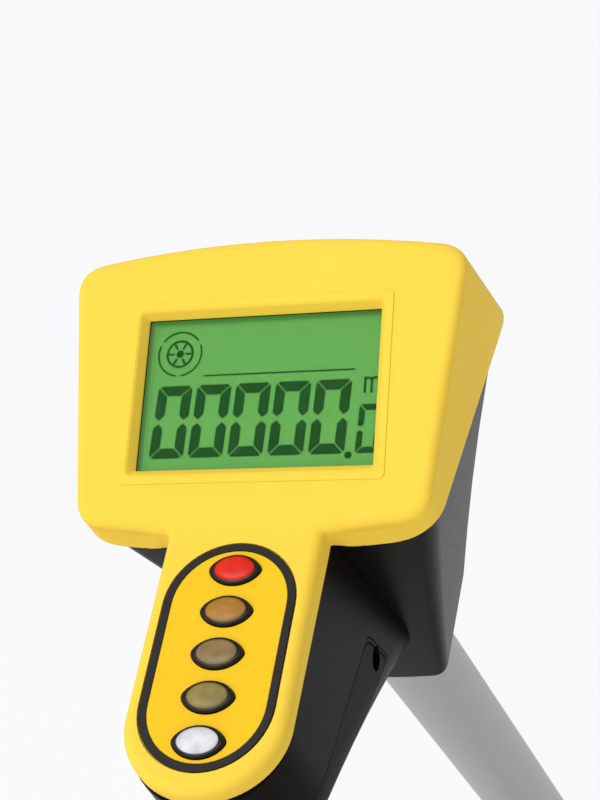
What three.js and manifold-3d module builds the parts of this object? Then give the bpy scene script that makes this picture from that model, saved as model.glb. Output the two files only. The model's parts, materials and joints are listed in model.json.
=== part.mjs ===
// Measuring wheel with a digital head: a pistol grip with a screen and five keys, a telescopic
// pole with a lever clamp, a fork with a one-metre wheel, and a kickstand that holds it parked.
//
// Millimetres, +Z up. The wheel rolls towards +Y and the user stands on the -Y side, so +X is
// the user's right. The origin lies on the floor, at the middle of the whole model.
import * as THREE from 'three';
import { mergeVertices } from 'three/addons/utils/BufferGeometryUtils.js';
import Module from 'manifold-3d';

const wasm = await Module();
wasm.setup();

const DEGREE = Math.PI / 180;
const GAP = 0.3; // clearance between pieces that touch

// ---- Driving dimensions -------------------------------------------------------------------

// Wheel: one turn is one metre.
const WHEEL_RADIUS = 1000 / (2 * Math.PI);
const TYRE_HALF_WIDTH = 11;
const TYRE_DEPTH = 11;
const RIM_DEPTH = 11;
const HUB_RADIUS = 22;
const HUB_HALF_LENGTH = 12;
const SPOKE_COUNT = 6;
const BEARING_RADIUS = 11;
const BEARING_WIDTH = 7;
const AXLE_RADIUS = 4;
const HEX_RADIUS = 7.5; // across the corners of the axle's bolt head and nut

// Pole: heights run along the pole from the axle, which parks leaning back by POLE_LEAN.
const POLE_LEAN = 20 * DEGREE;
const UPPER_TUBE_RADIUS = 14;
const LOWER_TUBE_RADIUS = 12.5;
const TUBE_WALL = 1.2;
const LOWER_TUBE_START = 180;
const LOWER_TUBE_END = 620;
const UPPER_TUBE_START = 490;
const UPPER_TUBE_END = 970;

// Fork
const FORK_HALF_GAP = 20;
const ARM_THICKNESS = 5;
const CROWN_BOTTOM = 166.5;
const CROWN_TOP = 208;

// Kickstand: its pin crosses behind the pole.
const STAND_HEIGHT = 218;
const STAND_OFFSET = 30;
const PIN_RADIUS = 4;
const LEG_RADIUS = 5;
const FOOT_RADIUS = 11;
const FOOT_HEIGHT = 18;
const FOOT_HALF_SPREAD = 105;
const FOOT_REACH = 200; // behind the pin

// Head: x to the user's right, y up the face, z out of the face towards the user.
const HEAD_TILT = 9.2 * DEGREE; // between the face's normal and the pole
const FACE_DISTANCE = 1000; // from the axle to the face along the pole
const POLE_ENTRY_Y = -10.4; // where the pole's axis meets the plane of the face
const FACE = {
  top: 42.7,
  bottom: -38.6,
  halfTop: 56.3,
  halfBottom: 48.4,
  crownTop: 5.3,
  crownBottom: 3.7,
  cornerTop: 8,
  cornerBottom: 7,
};
// The bezel flares a little on its way back to the seam, most of all along its bottom edge.
const SEAM_FORM = { ...FACE, top: 43.5, bottom: -41.7, halfTop: 57.1, halfBottom: 49.5 };
const SOCKET = {
  top: -10,
  bottom: -54,
  halfTop: 24.5,
  halfBottom: 21,
  crownTop: 1.5,
  crownBottom: 1,
  cornerTop: 9,
  cornerBottom: 4,
};
const SEAM = { offset: -26.8, slope: -0.5 }; // z = offset + slope * y behind the bezel
const SOCKET_PLANE = { offset: -139.2, slope: -Math.tan(HEAD_TILT) };
const HOUSING_INSET = 2.2;
const WALL = 2.5;
const SOCKET_DEPTH_SHARE = 0.2; // the last fifth of the housing is the solid pole socket

const WINDOW = { halfWidth: 33, halfHeight: 21.35, bevel: 1.6, bevelDepth: 2.06 };

// Key plate: it leaves the bottom of the face and bends towards the user.
const PLATE_BEND = 18.3 * DEGREE;
const PLATE_ORIGIN = new THREE.Vector3(0, -34.65, -1.5);
const PLATE_HALF_WIDTH = 21.3;
const PLATE_STRAIGHT = 57;
const PLATE_LENGTH = 77;
const PLATE_THICKNESS = 5.5;
const TRACK = { halfWidth: 17.9, halfLength: 32, centre: -39.7, depth: 0.8 };
const KEY_COUNT = 5;
const KEY_FIRST = -16;
const KEY_PITCH = 11.94;
const KEY_HALF_WIDTH = 6.9;
const KEY_HALF_HEIGHT = 4.3;
const KEY_RISE = 1.9;
const KEY_COLOURS = [0xb5342c, 0xb98a4a, 0x9a917d, 0x8b8a72, 0xdad9d2];

// ---- Materials ----------------------------------------------------------------------------

function finish(color, roughness, metalness = 0) {
  return new THREE.MeshStandardMaterial({ color, roughness, metalness });
}

const yellowPlastic = finish(0xf0b51c, 0.45);
const deepYellow = finish(0xe0941a, 0.5);
const blackPlastic = finish(0x1d1d1f, 0.55);
const blackRubber = finish(0x18181a, 0.9);
const greyAluminium = finish(0x9a9c9e, 0.45, 0.8);
const zincSteel = finish(0xb8babd, 0.35, 0.9);
const circuitGreen = finish(0x1f5a35, 0.6);
const clearLens = finish(0xbfcfae, 0.1);
const lcdGreen = finish(0x93b83c, 0.3);
const whitePlastic = finish(0xe8e8e4, 0.5);
const cellBlue = finish(0x2d4a73, 0.4);

// ---- Solids and meshes --------------------------------------------------------------------

// The bare geometry, with the corners that faces share merged into one.
function merge(geometry) {
  const bare = geometry.clone();
  bare.deleteAttribute('normal');
  bare.deleteAttribute('uv');
  return mergeVertices(bare, 1e-4);
}

function solid(geometry) {
  const merged = merge(geometry);
  const vertProperties = Float32Array.from(merged.attributes.position.array);
  const triVerts = Uint32Array.from(merged.index.array);
  return new wasm.Manifold(new wasm.Mesh({ numProp: 3, vertProperties, triVerts }));
}

function geometryOf(body) {
  const { vertProperties, triVerts } = body.getMesh();
  const geometry = new THREE.BufferGeometry();
  geometry.setAttribute('position', new THREE.BufferAttribute(vertProperties, 3));
  geometry.setIndex(new THREE.BufferAttribute(triVerts, 1));
  geometry.computeVertexNormals();
  return geometry;
}

function join(first, ...others) {
  return others.reduce((body, other) => body.add(solid(other)), solid(first));
}

function cut(body, ...tools) {
  return tools.reduce((rest, tool) => rest.subtract(solid(tool)), body);
}

function piece(parent, name, shape, material) {
  const geometry = shape instanceof THREE.BufferGeometry ? shape : geometryOf(shape);
  const mesh = new THREE.Mesh(geometry, material);
  mesh.name = name;
  parent.add(mesh);
  return mesh;
}

function block(width, depth, height, x = 0, y = 0, z = 0) {
  return new THREE.BoxGeometry(width, depth, height).translate(x, y, z);
}

// A rod from one point to another.
function rod(radius, from, to, segments = 24) {
  const run = to.clone().sub(from);
  const geometry = new THREE.CylinderGeometry(radius, radius, run.length(), segments);
  const up = new THREE.Vector3(0, 1, 0);
  const turn = new THREE.Quaternion().setFromUnitVectors(up, run.clone().normalize());
  const middle = from.clone().add(to).multiplyScalar(0.5);
  return geometry.applyQuaternion(turn).translate(middle.x, middle.y, middle.z);
}

function rodAlongX(radius, x0, x1, y = 0, z = 0, segments = 24) {
  return rod(radius, new THREE.Vector3(x0, y, z), new THREE.Vector3(x1, y, z), segments);
}

function rodAlongZ(radius, z0, z1, x = 0, y = 0, segments = 32) {
  return rod(radius, new THREE.Vector3(x, y, z0), new THREE.Vector3(x, y, z1), segments);
}

// A ring turned about X: the profile's points are (x, radius) and it closes on itself.
function ringAboutX(profile, segments) {
  const closed = [...profile, profile[0]].map(([x, radius]) => new THREE.Vector2(radius, x));
  return new THREE.LatheGeometry(closed, segments).rotateZ(-Math.PI / 2);
}

function flatRing(inner, outer, x0, x1, segments = 36) {
  return ringAboutX([[x0, inner], [x0, outer], [x1, outer], [x1, inner]], segments);
}

// Stands a flat extrusion up: its x, y and depth become Y, Z and X.
function alongX(geometry) {
  const basis = new THREE.Matrix4().makeBasis(
    new THREE.Vector3(0, 1, 0),
    new THREE.Vector3(0, 0, 1),
    new THREE.Vector3(1, 0, 0),
  );
  return geometry.applyMatrix4(basis);
}

function extrude(shape, depth, z = 0, curveSegments = 8) {
  const geometry = new THREE.ExtrudeGeometry(shape, { depth, bevelEnabled: false, curveSegments });
  return geometry.translate(0, 0, z);
}

// Turns a closed skin's faces outwards.
function facingOut(geometry) {
  const { index, attributes: { position } } = geometry;
  const corner = (at) => new THREE.Vector3().fromBufferAttribute(position, index.getX(at));
  let volume = 0;
  for (let i = 0; i < index.count; i += 3) {
    volume += corner(i).dot(corner(i + 1).cross(corner(i + 2)));
  }
  if (volume < 0) {
    index.array.reverse();
  }
  return geometry;
}

// A closed skin over matching rings of points, capped at both ends. The caps are triangulated
// in the two directions that `flat` picks.
function loft(rings, flat = ({ x, y }) => new THREE.Vector2(x, y)) {
  const count = rings[0].length;
  const caps = THREE.ShapeUtils.triangulateShape(rings[0].map(flat), []);
  const turn = Math.sign(THREE.ShapeUtils.area(rings[0].map(flat)));
  const positions = rings.flat().flatMap(({ x, y, z }) => [x, y, z]);
  const index = [];
  for (let level = 0; level < rings.length - 1; level += 1) {
    for (let step = 0; step < count; step += 1) {
      const a = level * count + step;
      const b = level * count + ((step + 1) % count);
      index.push(a, b, a + count, b, b + count, a + count);
    }
  }
  const last = (rings.length - 1) * count;
  for (const [a, b, c] of caps) {
    const [second, third] = turn > 0 ? [c, b] : [b, c];
    index.push(a, second, third);
    index.push(last + a, last + third, last + second);
  }
  const geometry = new THREE.BufferGeometry();
  geometry.setAttribute('position', new THREE.Float32BufferAttribute(positions, 3));
  geometry.setIndex(index);
  return facingOut(geometry);
}

// ---- Outlines -----------------------------------------------------------------------------

// A rounded outline, wider at the top, with crowned top and bottom edges and four soft corners.
function crownedOutline(form, inset = 0) {
  const top = form.top - inset;
  const bottom = form.bottom + inset;
  const halfTop = form.halfTop - inset;
  const halfBottom = form.halfBottom - inset;
  const topCorner = new THREE.Vector2(halfTop, top - form.crownTop);
  const bottomCorner = new THREE.Vector2(halfBottom, bottom + form.crownBottom);
  const down = bottomCorner.clone().sub(topCorner).normalize();
  const topSide = topCorner.clone().addScaledVector(down, form.cornerTop);
  const bottomSide = bottomCorner.clone().addScaledVector(down, -form.cornerBottom);
  const topReach = halfTop - form.cornerTop;
  const topY = top - form.crownTop * (topReach / halfTop) ** 2;
  const bottomReach = halfBottom - form.cornerBottom;
  const bottomY = bottom + form.crownBottom * (bottomReach / halfBottom) ** 2;
  const shape = new THREE.Shape();
  shape.moveTo(topReach, topY);
  shape.quadraticCurveTo(0, 2 * top - topY, -topReach, topY);
  shape.quadraticCurveTo(-topCorner.x, topCorner.y, -topSide.x, topSide.y);
  shape.lineTo(-bottomSide.x, bottomSide.y);
  shape.quadraticCurveTo(-bottomCorner.x, bottomCorner.y, -bottomReach, bottomY);
  shape.quadraticCurveTo(0, 2 * bottom - bottomY, bottomReach, bottomY);
  shape.quadraticCurveTo(bottomCorner.x, bottomCorner.y, bottomSide.x, bottomSide.y);
  shape.lineTo(topSide.x, topSide.y);
  shape.quadraticCurveTo(topCorner.x, topCorner.y, topReach, topY);
  return shape;
}

function roundedRectangle(halfWidth, halfHeight, radius) {
  const shape = new THREE.Shape();
  shape.absarc(halfWidth - radius, halfHeight - radius, radius, 0, Math.PI / 2);
  shape.absarc(-halfWidth + radius, halfHeight - radius, radius, Math.PI / 2, Math.PI);
  shape.absarc(-halfWidth + radius, -halfHeight + radius, radius, Math.PI, 1.5 * Math.PI);
  shape.absarc(halfWidth - radius, -halfHeight + radius, radius, 1.5 * Math.PI, 2 * Math.PI);
  return shape;
}

// The key plate's outline: straight sides that end in half an ellipse.
function plateOutline(grow = 0) {
  const half = PLATE_HALF_WIDTH + grow;
  const shape = new THREE.Shape();
  shape.moveTo(half, 6);
  shape.lineTo(-half, 6);
  shape.lineTo(-half, -PLATE_STRAIGHT);
  const drop = PLATE_LENGTH - PLATE_STRAIGHT + grow;
  shape.absellipse(0, -PLATE_STRAIGHT, half, drop, Math.PI, 2 * Math.PI);
  return shape;
}

// A key: two shallow arcs that meet in blunt points.
function keyOutline(grow = 0) {
  const halfWidth = KEY_HALF_WIDTH + grow;
  const halfHeight = KEY_HALF_HEIGHT + grow;
  const blunt = halfHeight * 0.3;
  const shape = new THREE.Shape();
  shape.moveTo(halfWidth, blunt);
  shape.quadraticCurveTo(0, 2 * halfHeight - blunt, -halfWidth, blunt);
  shape.lineTo(-halfWidth, -blunt);
  shape.quadraticCurveTo(0, -2 * halfHeight + blunt, halfWidth, -blunt);
  return shape;
}

function trackOutline(shrink = 0) {
  const radius = TRACK.halfWidth - shrink;
  return roundedRectangle(radius, TRACK.halfLength - shrink, radius - 0.01);
}

// ---- Frames -------------------------------------------------------------------------------

const assembly = new THREE.Group();
const pole = new THREE.Group();
pole.position.z = WHEEL_RADIUS;
pole.rotation.x = POLE_LEAN;
assembly.add(pole);

const head = new THREE.Group();
head.rotation.x = HEAD_TILT;
head.position.set(
  0,
  -POLE_ENTRY_Y * Math.cos(HEAD_TILT),
  FACE_DISTANCE - POLE_ENTRY_Y * Math.sin(HEAD_TILT),
);
pole.add(head);

const plate = new THREE.Group();
plate.position.copy(PLATE_ORIGIN);
plate.rotation.x = -PLATE_BEND;
plate.updateMatrix();
head.add(plate);
const plateMatrix = plate.matrix;

// The pole's axis, seen from the head.
const poleDown = new THREE.Vector3(0, -Math.sin(HEAD_TILT), -Math.cos(HEAD_TILT));
const poleEntry = new THREE.Vector3(0, POLE_ENTRY_Y, 0);

function poleRod(radius, near, far, segments = 32) {
  const from = poleEntry.clone().addScaledVector(poleDown, near);
  const to = poleEntry.clone().addScaledVector(poleDown, far);
  return rod(radius, from, to, segments);
}

// ---- Housing shapes -----------------------------------------------------------------------

function blendForm(share) {
  const form = {};
  for (const key of Object.keys(FACE)) {
    form[key] = THREE.MathUtils.lerp(SEAM_FORM[key], SOCKET[key], share);
  }
  return form;
}

// An outline's points, each at the height that its y asks for.
function outlineRing(form, inset, height) {
  const outline = crownedOutline(form, inset).getPoints(5);
  outline.pop();
  return outline.map(({ x, y }) => new THREE.Vector3(x, y, height(y)));
}

// A ring of the black housing: share 0 is the seam with the bezel, share 1 the pole socket.
function housingRing(share, inset) {
  const offset = THREE.MathUtils.lerp(SEAM.offset - GAP, SOCKET_PLANE.offset, share);
  const slope = THREE.MathUtils.lerp(SEAM.slope, SOCKET_PLANE.slope, share);
  const lip = THREE.MathUtils.lerp(HOUSING_INSET, 0, Math.max(share, 0));
  return outlineRing(blendForm(share), inset + lip, (y) => offset + slope * y);
}

const housingOuter = solid(loft([housingRing(0, 0), housingRing(1, 0)]));
const cavityEnd = 1 - SOCKET_DEPTH_SHARE;
const housingCavity = loft([housingRing(-0.1, WALL), housingRing(cavityEnd, WALL)]);

// The back slope runs from the top of the seam down to the socket. Its frame has +Y out of the
// slope and -Z down it.
const slopeTop = new THREE.Vector3(
  0,
  SEAM_FORM.top - HOUSING_INSET,
  SEAM.offset + SEAM.slope * SEAM_FORM.top,
);
const slopeEnd = new THREE.Vector3(
  0,
  SOCKET.top,
  SOCKET_PLANE.offset + SOCKET_PLANE.slope * SOCKET.top,
);
const SPLIT_DROP_FRONT = 15;
const SPLIT_DROP_REAR = 4.6;

function slopeFrame(start, end) {
  const frame = new THREE.Group();
  frame.position.copy(start);
  frame.rotation.x = Math.atan2(end.y - start.y, start.z - end.z);
  frame.updateMatrix();
  return frame;
}

const slope = slopeFrame(slopeTop, slopeEnd);
head.add(slope);
const split = slopeFrame(
  slopeTop.clone().setY(slopeTop.y - SPLIT_DROP_FRONT),
  slopeEnd.clone().setY(slopeEnd.y - SPLIT_DROP_REAR),
);

function splitSlab(low, high) {
  return block(200, high - low, 400, 0, (low + high) / 2, -60).applyMatrix4(split.matrix);
}

// ---- Front cover --------------------------------------------------------------------------

// The bezel is a wedge: flat face in front, slanted seam behind.
function bezel() {
  const face = outlineRing(FACE, 0, () => 0);
  const seam = outlineRing(SEAM_FORM, 0, (y) => SEAM.offset + SEAM.slope * y);
  return loft([face, seam]);
}

function windowCutter() {
  const { halfWidth, halfHeight, bevel, bevelDepth } = WINDOW;
  const ring = (grow, z) => roundedRectangle(halfWidth + grow, halfHeight + grow, 1.5 + grow)
    .getPoints(3).map(({ x, y }) => new THREE.Vector3(x, y, z));
  const slope = bevel / bevelDepth;
  return loft([ring(bevel + slope, 1), ring(0, -bevelDepth), ring(0, -WALL - 1)]);
}

function keyPlace(index) {
  return KEY_FIRST - KEY_PITCH * index;
}

function frontCover() {
  const plateBody = extrude(plateOutline(), PLATE_THICKNESS, -PLATE_THICKNESS, 10);
  const cavity = extrude(crownedOutline(FACE, WALL), 60, -60 - WALL, 6);
  const track = extrude(trackOutline(), 2, -TRACK.depth, 10).translate(0, TRACK.centre, 0);
  let cover = cut(solid(bezel()), cavity, windowCutter());
  cover = cover.add(solid(plateBody.applyMatrix4(plateMatrix)));
  cover = cut(cover, track.applyMatrix4(plateMatrix));
  for (let index = 0; index < KEY_COUNT; index += 1) {
    const slot = extrude(keyOutline(GAP), 20, -10, 6).translate(0, keyPlace(index), 0);
    cover = cut(cover, slot.applyMatrix4(plateMatrix));
  }
  return cover;
}

// ---- Rear housing and its cover -----------------------------------------------------------

const BAY = { halfWidth: 29, start: -18, length: 36, depth: 18, wall: 1.6 };
const POLE_SCREW_AT = 126; // from the face, along the pole

function rearHousing() {
  const below = splitSlab(-200, -GAP / 2);
  let body = cut(housingOuter.intersect(solid(below)), housingCavity);
  for (const place of coverScrewPlaces()) {
    body = cut(body, coverScrewRod(place, 1.5 + GAP, -40, 20, 12).applyMatrix4(slope.matrix));
  }
  const bore = poleRod(UPPER_TUBE_RADIUS + GAP, 60, 170);
  return cut(body, bore, poleScrewRod(2.5 + GAP, 4.6 + GAP, 30));
}

// The screw that pins the tube in its socket, from below.
function poleScrewRod(shank, headRadius, headLength) {
  const across = new THREE.Vector3(0, -Math.cos(HEAD_TILT), Math.sin(HEAD_TILT));
  const centre = poleEntry.clone().addScaledVector(poleDown, POLE_SCREW_AT);
  const at = (distance) => centre.clone().addScaledVector(across, distance);
  const geometry = join(
    rod(shank, at(10), at(19), 16),
    rod(headRadius, at(18.5), at(18.5 + headLength), 16),
  );
  return geometryOf(geometry);
}

function rearCover() {
  const above = splitSlab(GAP / 2, 200);
  let cover = cut(housingOuter.intersect(solid(above)), housingCavity);
  const middle = BAY.start - BAY.length / 2;
  const outer = block(
    2 * (BAY.halfWidth + BAY.wall),
    BAY.depth + 0.5,
    BAY.length + 2 * BAY.wall,
    0,
    -2 - (BAY.depth + 0.5) / 2,
    middle,
  );
  const pocket = block(2 * BAY.halfWidth, BAY.depth + 20, BAY.length, 0, -BAY.depth / 2 + 9.4, middle);
  cover = cover.add(solid(outer.applyMatrix4(slope.matrix)));
  cover = cut(cover, pocket.applyMatrix4(slope.matrix));
  for (const place of coverScrewPlaces()) {
    const seat = coverScrewSeat(place);
    const hole = coverScrewRod(place, 1.5 + GAP, -40, seat + 1, 12);
    const recess = coverScrewRod(place, 3 + GAP, seat, 20, 16);
    cover = cut(cover, hole.applyMatrix4(slope.matrix), recess.applyMatrix4(slope.matrix));
  }
  return cover;
}

// Each screw's x and z in the slope's frame.
function coverScrewPlaces() {
  return [[-36, -12], [36, -12], [-17, -84], [17, -84]];
}

function coverScrewRod([x, z], radius, low, high, segments) {
  return rod(radius, new THREE.Vector3(x, low, z), new THREE.Vector3(x, high, z), segments);
}

// A screw's head sits this high in the slope's frame: below the crowned surface beside it.
function coverScrewSeat([x, z]) {
  const share = -z / slopeTop.distanceTo(slopeEnd);
  const form = blendForm(share);
  const drop = form.crownTop * (x / form.halfTop) ** 2;
  return -drop - 1.3;
}

// ---- Grip ---------------------------------------------------------------------------------

const GRIP = { top: -30, levels: [-30, 8, 30, 57, 63, 69, 73.5, 76.5], backRound: 17 };
// A side pad's corners are given as (down the grip, depth behind the key plate).
const PAD = {
  recess: 1.2,
  seat: 0.9,
  topFront: [7, -48],
  topBack: [2.5, -68],
  bottomBack: [62, -44.5],
  bottomFront: [66, -30],
};
const GRIP_SCREW = { down: 9, depth: -58, headSeat: 14 };

// The grip's depth behind the key plate shrinks towards its butt.
function gripDepth(down) {
  return 87 - 0.72 * down + 0.0016 * down * down;
}

function gripHalfWidth(down) {
  const share = Math.max(0, down - PLATE_STRAIGHT) / (PLATE_LENGTH + 1 - PLATE_STRAIGHT);
  return (PLATE_HALF_WIDTH - GAP) * Math.sqrt(1 - share * share);
}

// One level of the grip in the key plate's frame: square towards the plate, round behind.
function gripRing(down, inset, front) {
  const half = gripHalfWidth(down) - inset;
  const back = inset - gripDepth(down);
  const round = Math.min(half, GRIP.backRound) * 0.98;
  const shape = new THREE.Shape();
  shape.moveTo(half, front);
  shape.lineTo(-half, front);
  shape.lineTo(-half, back + round);
  shape.quadraticCurveTo(-half, back, round - half, back);
  shape.lineTo(half - round, back);
  shape.quadraticCurveTo(half, back, half, back + round);
  return shape.getPoints(5).map(({ x, y }) => new THREE.Vector3(x, -down, y));
}

function gripLoft(inset, front, levels = GRIP.levels) {
  const rings = levels.map((down) => gripRing(down, inset, front));
  return loft(rings, ({ x, z }) => new THREE.Vector2(x, z)).applyMatrix4(plateMatrix);
}

// The outline of a side pad, extruded out through one side of the grip.
function padPrism(side, shrink) {
  const middle = new THREE.Vector2(-48, -34);
  const corners = [PAD.topFront, PAD.topBack, PAD.bottomBack, PAD.bottomFront].map(([down, depth]) => {
    const corner = new THREE.Vector2(depth, -down);
    return corner.addScaledVector(middle.clone().sub(corner).normalize(), shrink);
  });
  const rings = [0, 40].map((reach) => corners.map(({ x, y }) => new THREE.Vector3(side * reach, y, x)));
  return loft(rings, ({ y, z }) => new THREE.Vector2(y, z)).applyMatrix4(plateMatrix);
}

function gripScrewRod(radius, x0, x1, segments = 16) {
  return rodAlongX(radius, x0, x1, -GRIP_SCREW.down, GRIP_SCREW.depth, segments).applyMatrix4(plateMatrix);
}

function gripShell() {
  const front = -PLATE_THICKNESS - GAP;
  let shell = solid(gripLoft(0, front));
  shell = cut(shell, gripLoft(WALL, 10, [-40, 8, 30, 57, 63, 69, 73.5]));
  shell = shell.add(solid(gripScrewRod(5, 6, 20)));
  for (const side of [-1, 1]) {
    shell = shell.subtract(solid(padPrism(side, 0)).subtract(solid(gripLoft(PAD.recess, front))));
  }
  shell = cut(shell, gripScrewRod(1.5 + GAP, 4, 25), gripScrewRod(3.5, GRIP_SCREW.headSeat, 25));
  const lowered = (geometry, y, z) => geometry.clone().translate(0, y, z);
  const housing = loft([housingRing(-0.1, 0), housingRing(1, 0)]);
  const wedge = bezel();
  return cut(shell, housing, lowered(housing, -GAP, 0), lowered(wedge, -GAP, 0), lowered(wedge, 0, -GAP));
}

function gripPad(side) {
  const front = -PLATE_THICKNESS - GAP;
  const skin = solid(gripLoft(0, front)).subtract(solid(gripLoft(PAD.seat, front)));
  return cut(skin.intersect(solid(padPrism(side, 0.4))), gripScrewRod(3.8, 5, 25));
}

function gripScrew() {
  const { headSeat } = GRIP_SCREW;
  return join(gripScrewRod(1.5, 7, headSeat + 1), gripScrewRod(3.2, headSeat + GAP, headSeat + 2.6));
}

// ---- Screen, boards and keys --------------------------------------------------------------

function sheet(halfWidth, halfHeight, radius, near, far, y = 0) {
  return extrude(roundedRectangle(halfWidth, halfHeight, radius), near - far, far, 3).translate(0, y, 0);
}

function keypadOverlay() {
  const track = extrude(trackOutline(GAP), TRACK.depth, GAP - TRACK.depth, 10);
  let overlay = solid(track.translate(0, TRACK.centre, 0));
  for (let index = 0; index < KEY_COUNT; index += 1) {
    overlay = cut(overlay, extrude(keyOutline(GAP), 20, -10, 6).translate(0, keyPlace(index), 0));
  }
  return overlay;
}

// A key: a straight stem that runs in its slot, and a cap with a sloped edge.
function key() {
  const ring = (grow, z) => keyOutline(grow).getPoints(6).map(({ x, y }) => new THREE.Vector3(x, y, z));
  return loft([ring(0, -6.2), ring(0, KEY_RISE - 0.8), ring(-0.8, KEY_RISE)]);
}

function buildScreenAndKeys() {
  piece(head, 'screen_lens', sheet(36, 24.3, 2, -WALL - GAP, -4.2), clearLens);
  piece(head, 'lcd_panel', sheet(36.5, 25, 1, -4.6, -7.2), lcdGreen);
  piece(head, 'backlight', sheet(38, 26.5, 1, -7.6, -11), whitePlastic);
  piece(head, 'main_board', sheet(42, 29, 2, -14.8, -16.4, 2), circuitGreen);
  piece(plate, 'keypad_overlay', keypadOverlay(), deepYellow);
  piece(plate, 'keypad_board', sheet(14.5, 30.5, 12, -7.2, -8.8, TRACK.centre), circuitGreen);
  for (let index = 0; index < KEY_COUNT; index += 1) {
    const colour = finish(KEY_COLOURS[index], 0.5);
    piece(plate, `key_${index + 1}`, key(), colour).position.y = keyPlace(index);
  }
}

// ---- Battery bay in the back slope --------------------------------------------------------

const CELL = { radius: 7.1, halfLength: 25 };
const DOOR = { thickness: 2, top: -0.2, hingeInset: 1.6 };

function buildBattery() {
  for (const [name, z] of [['cell_1', -26.5], ['cell_2', -45.5]]) {
    const body = join(
      rodAlongX(CELL.radius, -CELL.halfLength, CELL.halfLength - 1, 0, 0, 20),
      rodAlongX(2.7, CELL.halfLength - 1.5, CELL.halfLength, 0, 0, 12),
    );
    piece(slope, name, body, cellBlue).position.set(0, -10.4, z);
  }
  for (const [name, side] of [['contact_left', -1], ['contact_right', 1]]) {
    piece(slope, name, block(1.2, 12, 32, side * 27.6, -10.4, -36), zincSteel);
  }
  const start = BAY.start - DOOR.hingeInset + DOOR.thickness / 2;
  const end = BAY.start - BAY.length + GAP;
  const door = block(
    2 * BAY.halfWidth - 1,
    DOOR.thickness,
    start - end,
    0,
    DOOR.top - DOOR.thickness / 2,
    (start + end) / 2,
  );
  const latch = block(14, 1.4, 3, 0, DOOR.top + 0.5, end + 4);
  piece(slope, 'battery_door', join(door, latch), blackPlastic);
}

// ---- Pole ---------------------------------------------------------------------------------

const COLLAR = { bottom: 482, top: 520, radius: 18.5 };
const EAR = { halfWidth: 7.5, reach: 30, low: 492, high: 514, boltY: 24, boltZ: 503 };
const LEVER = { x: 13, low: 493.3, high: 512.7, gapLow: 499, gapHigh: 507, lugRadius: 4.9 };

function tube(radius, wall, low, high) {
  return cut(solid(rodAlongZ(radius, low, high)), rodAlongZ(radius - wall, low - 1, high + 1));
}

function clampCollar() {
  const { bottom, top, radius } = COLLAR;
  const upper = UPPER_TUBE_RADIUS + GAP;
  const lower = LOWER_TUBE_RADIUS + GAP;
  let collar = cut(solid(rodAlongZ(radius, bottom, top)), rodAlongZ(lower, bottom - 1, top + 1));
  collar = cut(collar, rodAlongZ(upper, UPPER_TUBE_START - GAP, top + 1));
  const earY = (radius - 3 + EAR.reach) / 2;
  const earDepth = EAR.reach - radius + 3;
  collar = collar.add(solid(block(2 * EAR.halfWidth, earDepth, EAR.high - EAR.low, 0, earY, EAR.boltZ)));
  const slit = block(2, 40, 60, 0, 20 + lower / 2, (bottom + top) / 2);
  return cut(collar, slit, rodAlongX(2.5 + GAP, -12, 12, EAR.boltY, EAR.boltZ, 16));
}

function clampBolt() {
  const eye = rodAlongZ(4.2, LEVER.gapLow + GAP, LEVER.gapHigh - GAP, LEVER.x, EAR.boltY, 20);
  const bolt = join(
    rodAlongX(2.5, -9, LEVER.x - 2.5, EAR.boltY, EAR.boltZ, 16),
    rodAlongX(4.5, -11, -EAR.halfWidth - GAP, EAR.boltY, EAR.boltZ, 16),
    eye,
  );
  return cut(bolt, rodAlongZ(2 + GAP, 490, 520, LEVER.x, EAR.boltY, 16));
}

// The lever pivots beside the ears and wraps round the collar when it is closed.
function clampLever() {
  const shape = new THREE.Shape();
  shape.moveTo(LEVER.x - 2, EAR.boltY - 4.2);
  shape.quadraticCurveTo(21.5, 13, 22, 0);
  shape.quadraticCurveTo(21.5, -11, 17, -18);
  shape.lineTo(20.5, -20);
  shape.quadraticCurveTo(26, -12, 26, 0);
  shape.quadraticCurveTo(25.5, 16, LEVER.x + 4, EAR.boltY + 3);
  const arm = extrude(shape, LEVER.high - LEVER.low, LEVER.low, 6);
  const lug = rodAlongZ(LEVER.lugRadius, LEVER.low, LEVER.high, LEVER.x, EAR.boltY, 24);
  const eyeRoom = block(14, 13, LEVER.gapHigh - LEVER.gapLow, LEVER.x - 2, EAR.boltY, EAR.boltZ);
  return cut(join(arm, lug), eyeRoom, rodAlongZ(2 + GAP, 480, 530, LEVER.x, EAR.boltY, 16));
}

function upperTube() {
  const body = tube(UPPER_TUBE_RADIUS, TUBE_WALL, UPPER_TUBE_START, UPPER_TUBE_END);
  const screwZ = FACE_DISTANCE - POLE_SCREW_AT;
  const hole = rod(2.5 + GAP, new THREE.Vector3(0, 0, screwZ), new THREE.Vector3(0, -20, screwZ), 16);
  return cut(body, hole);
}

// A plug with a wider head that guides the lower tube in the upper one.
function tubeGlide() {
  const inner = LOWER_TUBE_RADIUS - TUBE_WALL - GAP;
  const plug = join(
    rodAlongZ(LOWER_TUBE_RADIUS, LOWER_TUBE_END + GAP, LOWER_TUBE_END + 6),
    rodAlongZ(inner, LOWER_TUBE_END - 20, LOWER_TUBE_END + 1),
  );
  return cut(plug, rodAlongZ(3, LOWER_TUBE_END - 21, LOWER_TUBE_END + 7, 0, 0, 12));
}

function buildUpperPole() {
  piece(pole, 'upper_tube', upperTube(), greyAluminium);
  piece(pole, 'clamp_collar', clampCollar(), blackPlastic);
  piece(pole, 'clamp_bolt', clampBolt(), zincSteel);
  piece(pole, 'clamp_lever', clampLever(), blackPlastic);
  const pin = rodAlongZ(2, LEVER.low - 0.5, LEVER.high + 0.5, LEVER.x, EAR.boltY, 12);
  piece(pole, 'lever_pin', pin, zincSteel);
}

// ---- Fork ---------------------------------------------------------------------------------

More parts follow.
